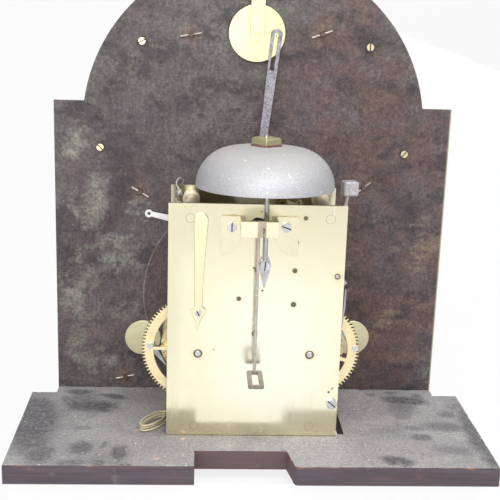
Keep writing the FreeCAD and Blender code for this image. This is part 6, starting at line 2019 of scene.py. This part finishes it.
@dataclass
class Studio:
    """White floor, a block that carries the board, soft lamps and the lens."""

    floor_z: float = -75.0
    lens_at: Triple = (-0.042394, -0.693894, 0.332569)
    right: Triple = (0.998434, -0.046811, 0.030633)
    up: Triple = (-0.017836, 0.252645, 0.967395)
    forward: Triple = (0.053024, 0.966426, -0.251414)
    focal: float = 72.38
    soft_light: float = 0.45
    side_glow: float = 0.45
    reach: float = 4000.0
    near: float = -1500.0
    backdrop: Triple = (900.0, 700.0, 3200.0)
    block_half: float = 172.0
    block_y: Pair = (-30.0, 70.0)
    block_gap: float = 8.0
    aim: Triple = (0.0, 0.02, 0.13)
    lamps: tuple[tuple[str, Triple, float, float], ...] = (
        ("key", (0.30, -0.70, 1.25), 1.3, 16.0), ("fill", (-0.5, -1.2, 0.6), 1.2, 9.0),
        ("dial_side", (0.5, 1.2, 0.7), 1.2, 5.0))

    def stand(self, obj: bpy.types.Object) -> None:
        """Dress a piece of the stage."""
        obj.data.materials.append(StudioWhite().material())

    def floor(self) -> None:
        """Wide floor that rises into a backdrop: y is straight, then a quarter circle up."""
        a = np.linspace(0, math.pi / 2, 12)
        flat, bend, high = self.backdrop
        y = np.concatenate([[-self.reach, self.near], flat + bend * np.sin(a), [flat + bend]])
        z = self.floor_z + np.concatenate([[0.0, 0.0], bend * (1 - np.cos(a)), [high]])
        x = np.linspace(-self.reach, self.reach, 5)
        pts = np.stack(np.broadcast_arrays(x, y[:, None], z[:, None]), axis=2).reshape(-1, 3)
        self.stand(lay_mesh("studio_floor", pts, grid_faces(len(y), len(x)), 80.0))

    def block(self) -> None:
        """White block under the seatboard, short of the dial."""
        x, (y0, y1) = self.block_half, self.block_y
        z0, z1 = self.floor_z, -BOARD_T - self.block_gap
        pts = np.array([(sx * x, y, z) for z in (z0, z1) for sx, y in ((-1, y0), (1, y0), (1, y1), (-1, y1))])
        faces = [(3, 2, 1, 0), (4, 5, 6, 7), (0, 1, 5, 4), (1, 2, 6, 5), (2, 3, 7, 6), (3, 0, 4, 7)]
        self.stand(lay_mesh("studio_block", pts, faces))

    def lamp(self, name: str, where: Triple, size: float, power: float) -> None:
        """Square lamp aimed at the movement.

        Args:
            name: the lamp's name.
            where: place in metres.
            size: side in metres.
            power: watts.
        """
        data = bpy.data.lights.new(name, "AREA")
        data.size = size
        data.energy = power
        obj = linked(name, data)
        obj.location = where
        aim = Vector(self.aim) - Vector(where)
        obj.rotation_euler = aim.to_track_quat("-Z", "Y").to_euler()

    def world(self) -> None:
        """Even pale surroundings that show white to the lens and darken to the sides in metal."""
        world = bpy.data.worlds.new("studio")
        bpy.context.scene.world = world
        world.use_nodes = True
        tree = world.node_tree
        back = tree.nodes["Background"]
        back.inputs["Color"].default_value = (1.0, 1.0, 1.0, 1.0)
        path = tree.nodes.new("ShaderNodeLightPath")
        coords = tree.nodes.new("ShaderNodeTexCoord")
        split = tree.nodes.new("ShaderNodeSeparateXYZ")
        tree.links.new(coords.outputs["Generated"], split.inputs[0])
        side = tree.nodes.new("ShaderNodeMath")
        side.operation = "ABSOLUTE"
        tree.links.new(split.outputs[0], side.inputs[0])
        metal = tree.nodes.new("ShaderNodeMapRange")
        for name, value in (("From Min", 0.2), ("From Max", 0.85), ("To Min", 1.0),
                            ("To Max", self.side_glow)):
            metal.inputs[name].default_value = value
        tree.links.new(side.outputs[0], metal.inputs["Value"])
        level = tree.nodes.new("ShaderNodeMix")
        level.inputs[2].default_value = self.soft_light
        tree.links.new(path.outputs["Is Glossy Ray"], level.inputs[0])
        tree.links.new(metal.outputs["Result"], level.inputs[3])
        lens = tree.nodes.new("ShaderNodeMath")
        lens.operation = "MAXIMUM"
        tree.links.new(level.outputs[0], lens.inputs[0])
        tree.links.new(path.outputs["Is Camera Ray"], lens.inputs[1])
        tree.links.new(lens.outputs[0], back.inputs["Strength"])

    def camera(self) -> None:
        """Lens at the photograph's place and angle."""
        data = bpy.data.cameras.new("lens")
        data.sensor_width = 36.0
        data.lens = self.focal
        obj = linked("lens", data)
        axes = Matrix((self.right, self.up, tuple(-c for c in self.forward))).transposed()
        obj.matrix_world = Matrix.Translation(self.lens_at) @ axes.to_4x4()
        bpy.context.scene.camera = obj

    def build(self) -> None:
        """Set everything up."""
        bpy.context.scene.view_settings.view_transform = "Standard"
        self.floor()
        self.block()
        self.world()
        for lamp in self.lamps:
            self.lamp(*lamp)
        self.camera()


def main() -> None:
    """Build every sub-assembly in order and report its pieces."""
    logging.basicConfig(level=logging.INFO, format="%(message)s")
    for group in (Studio(), GutLine(), Seatboard(), BellGroup(), MovementWork(), DialFace()):
        LOG.info("%s:", type(group).__name__)
        group.build()


if __name__ == "__main__":
    main()
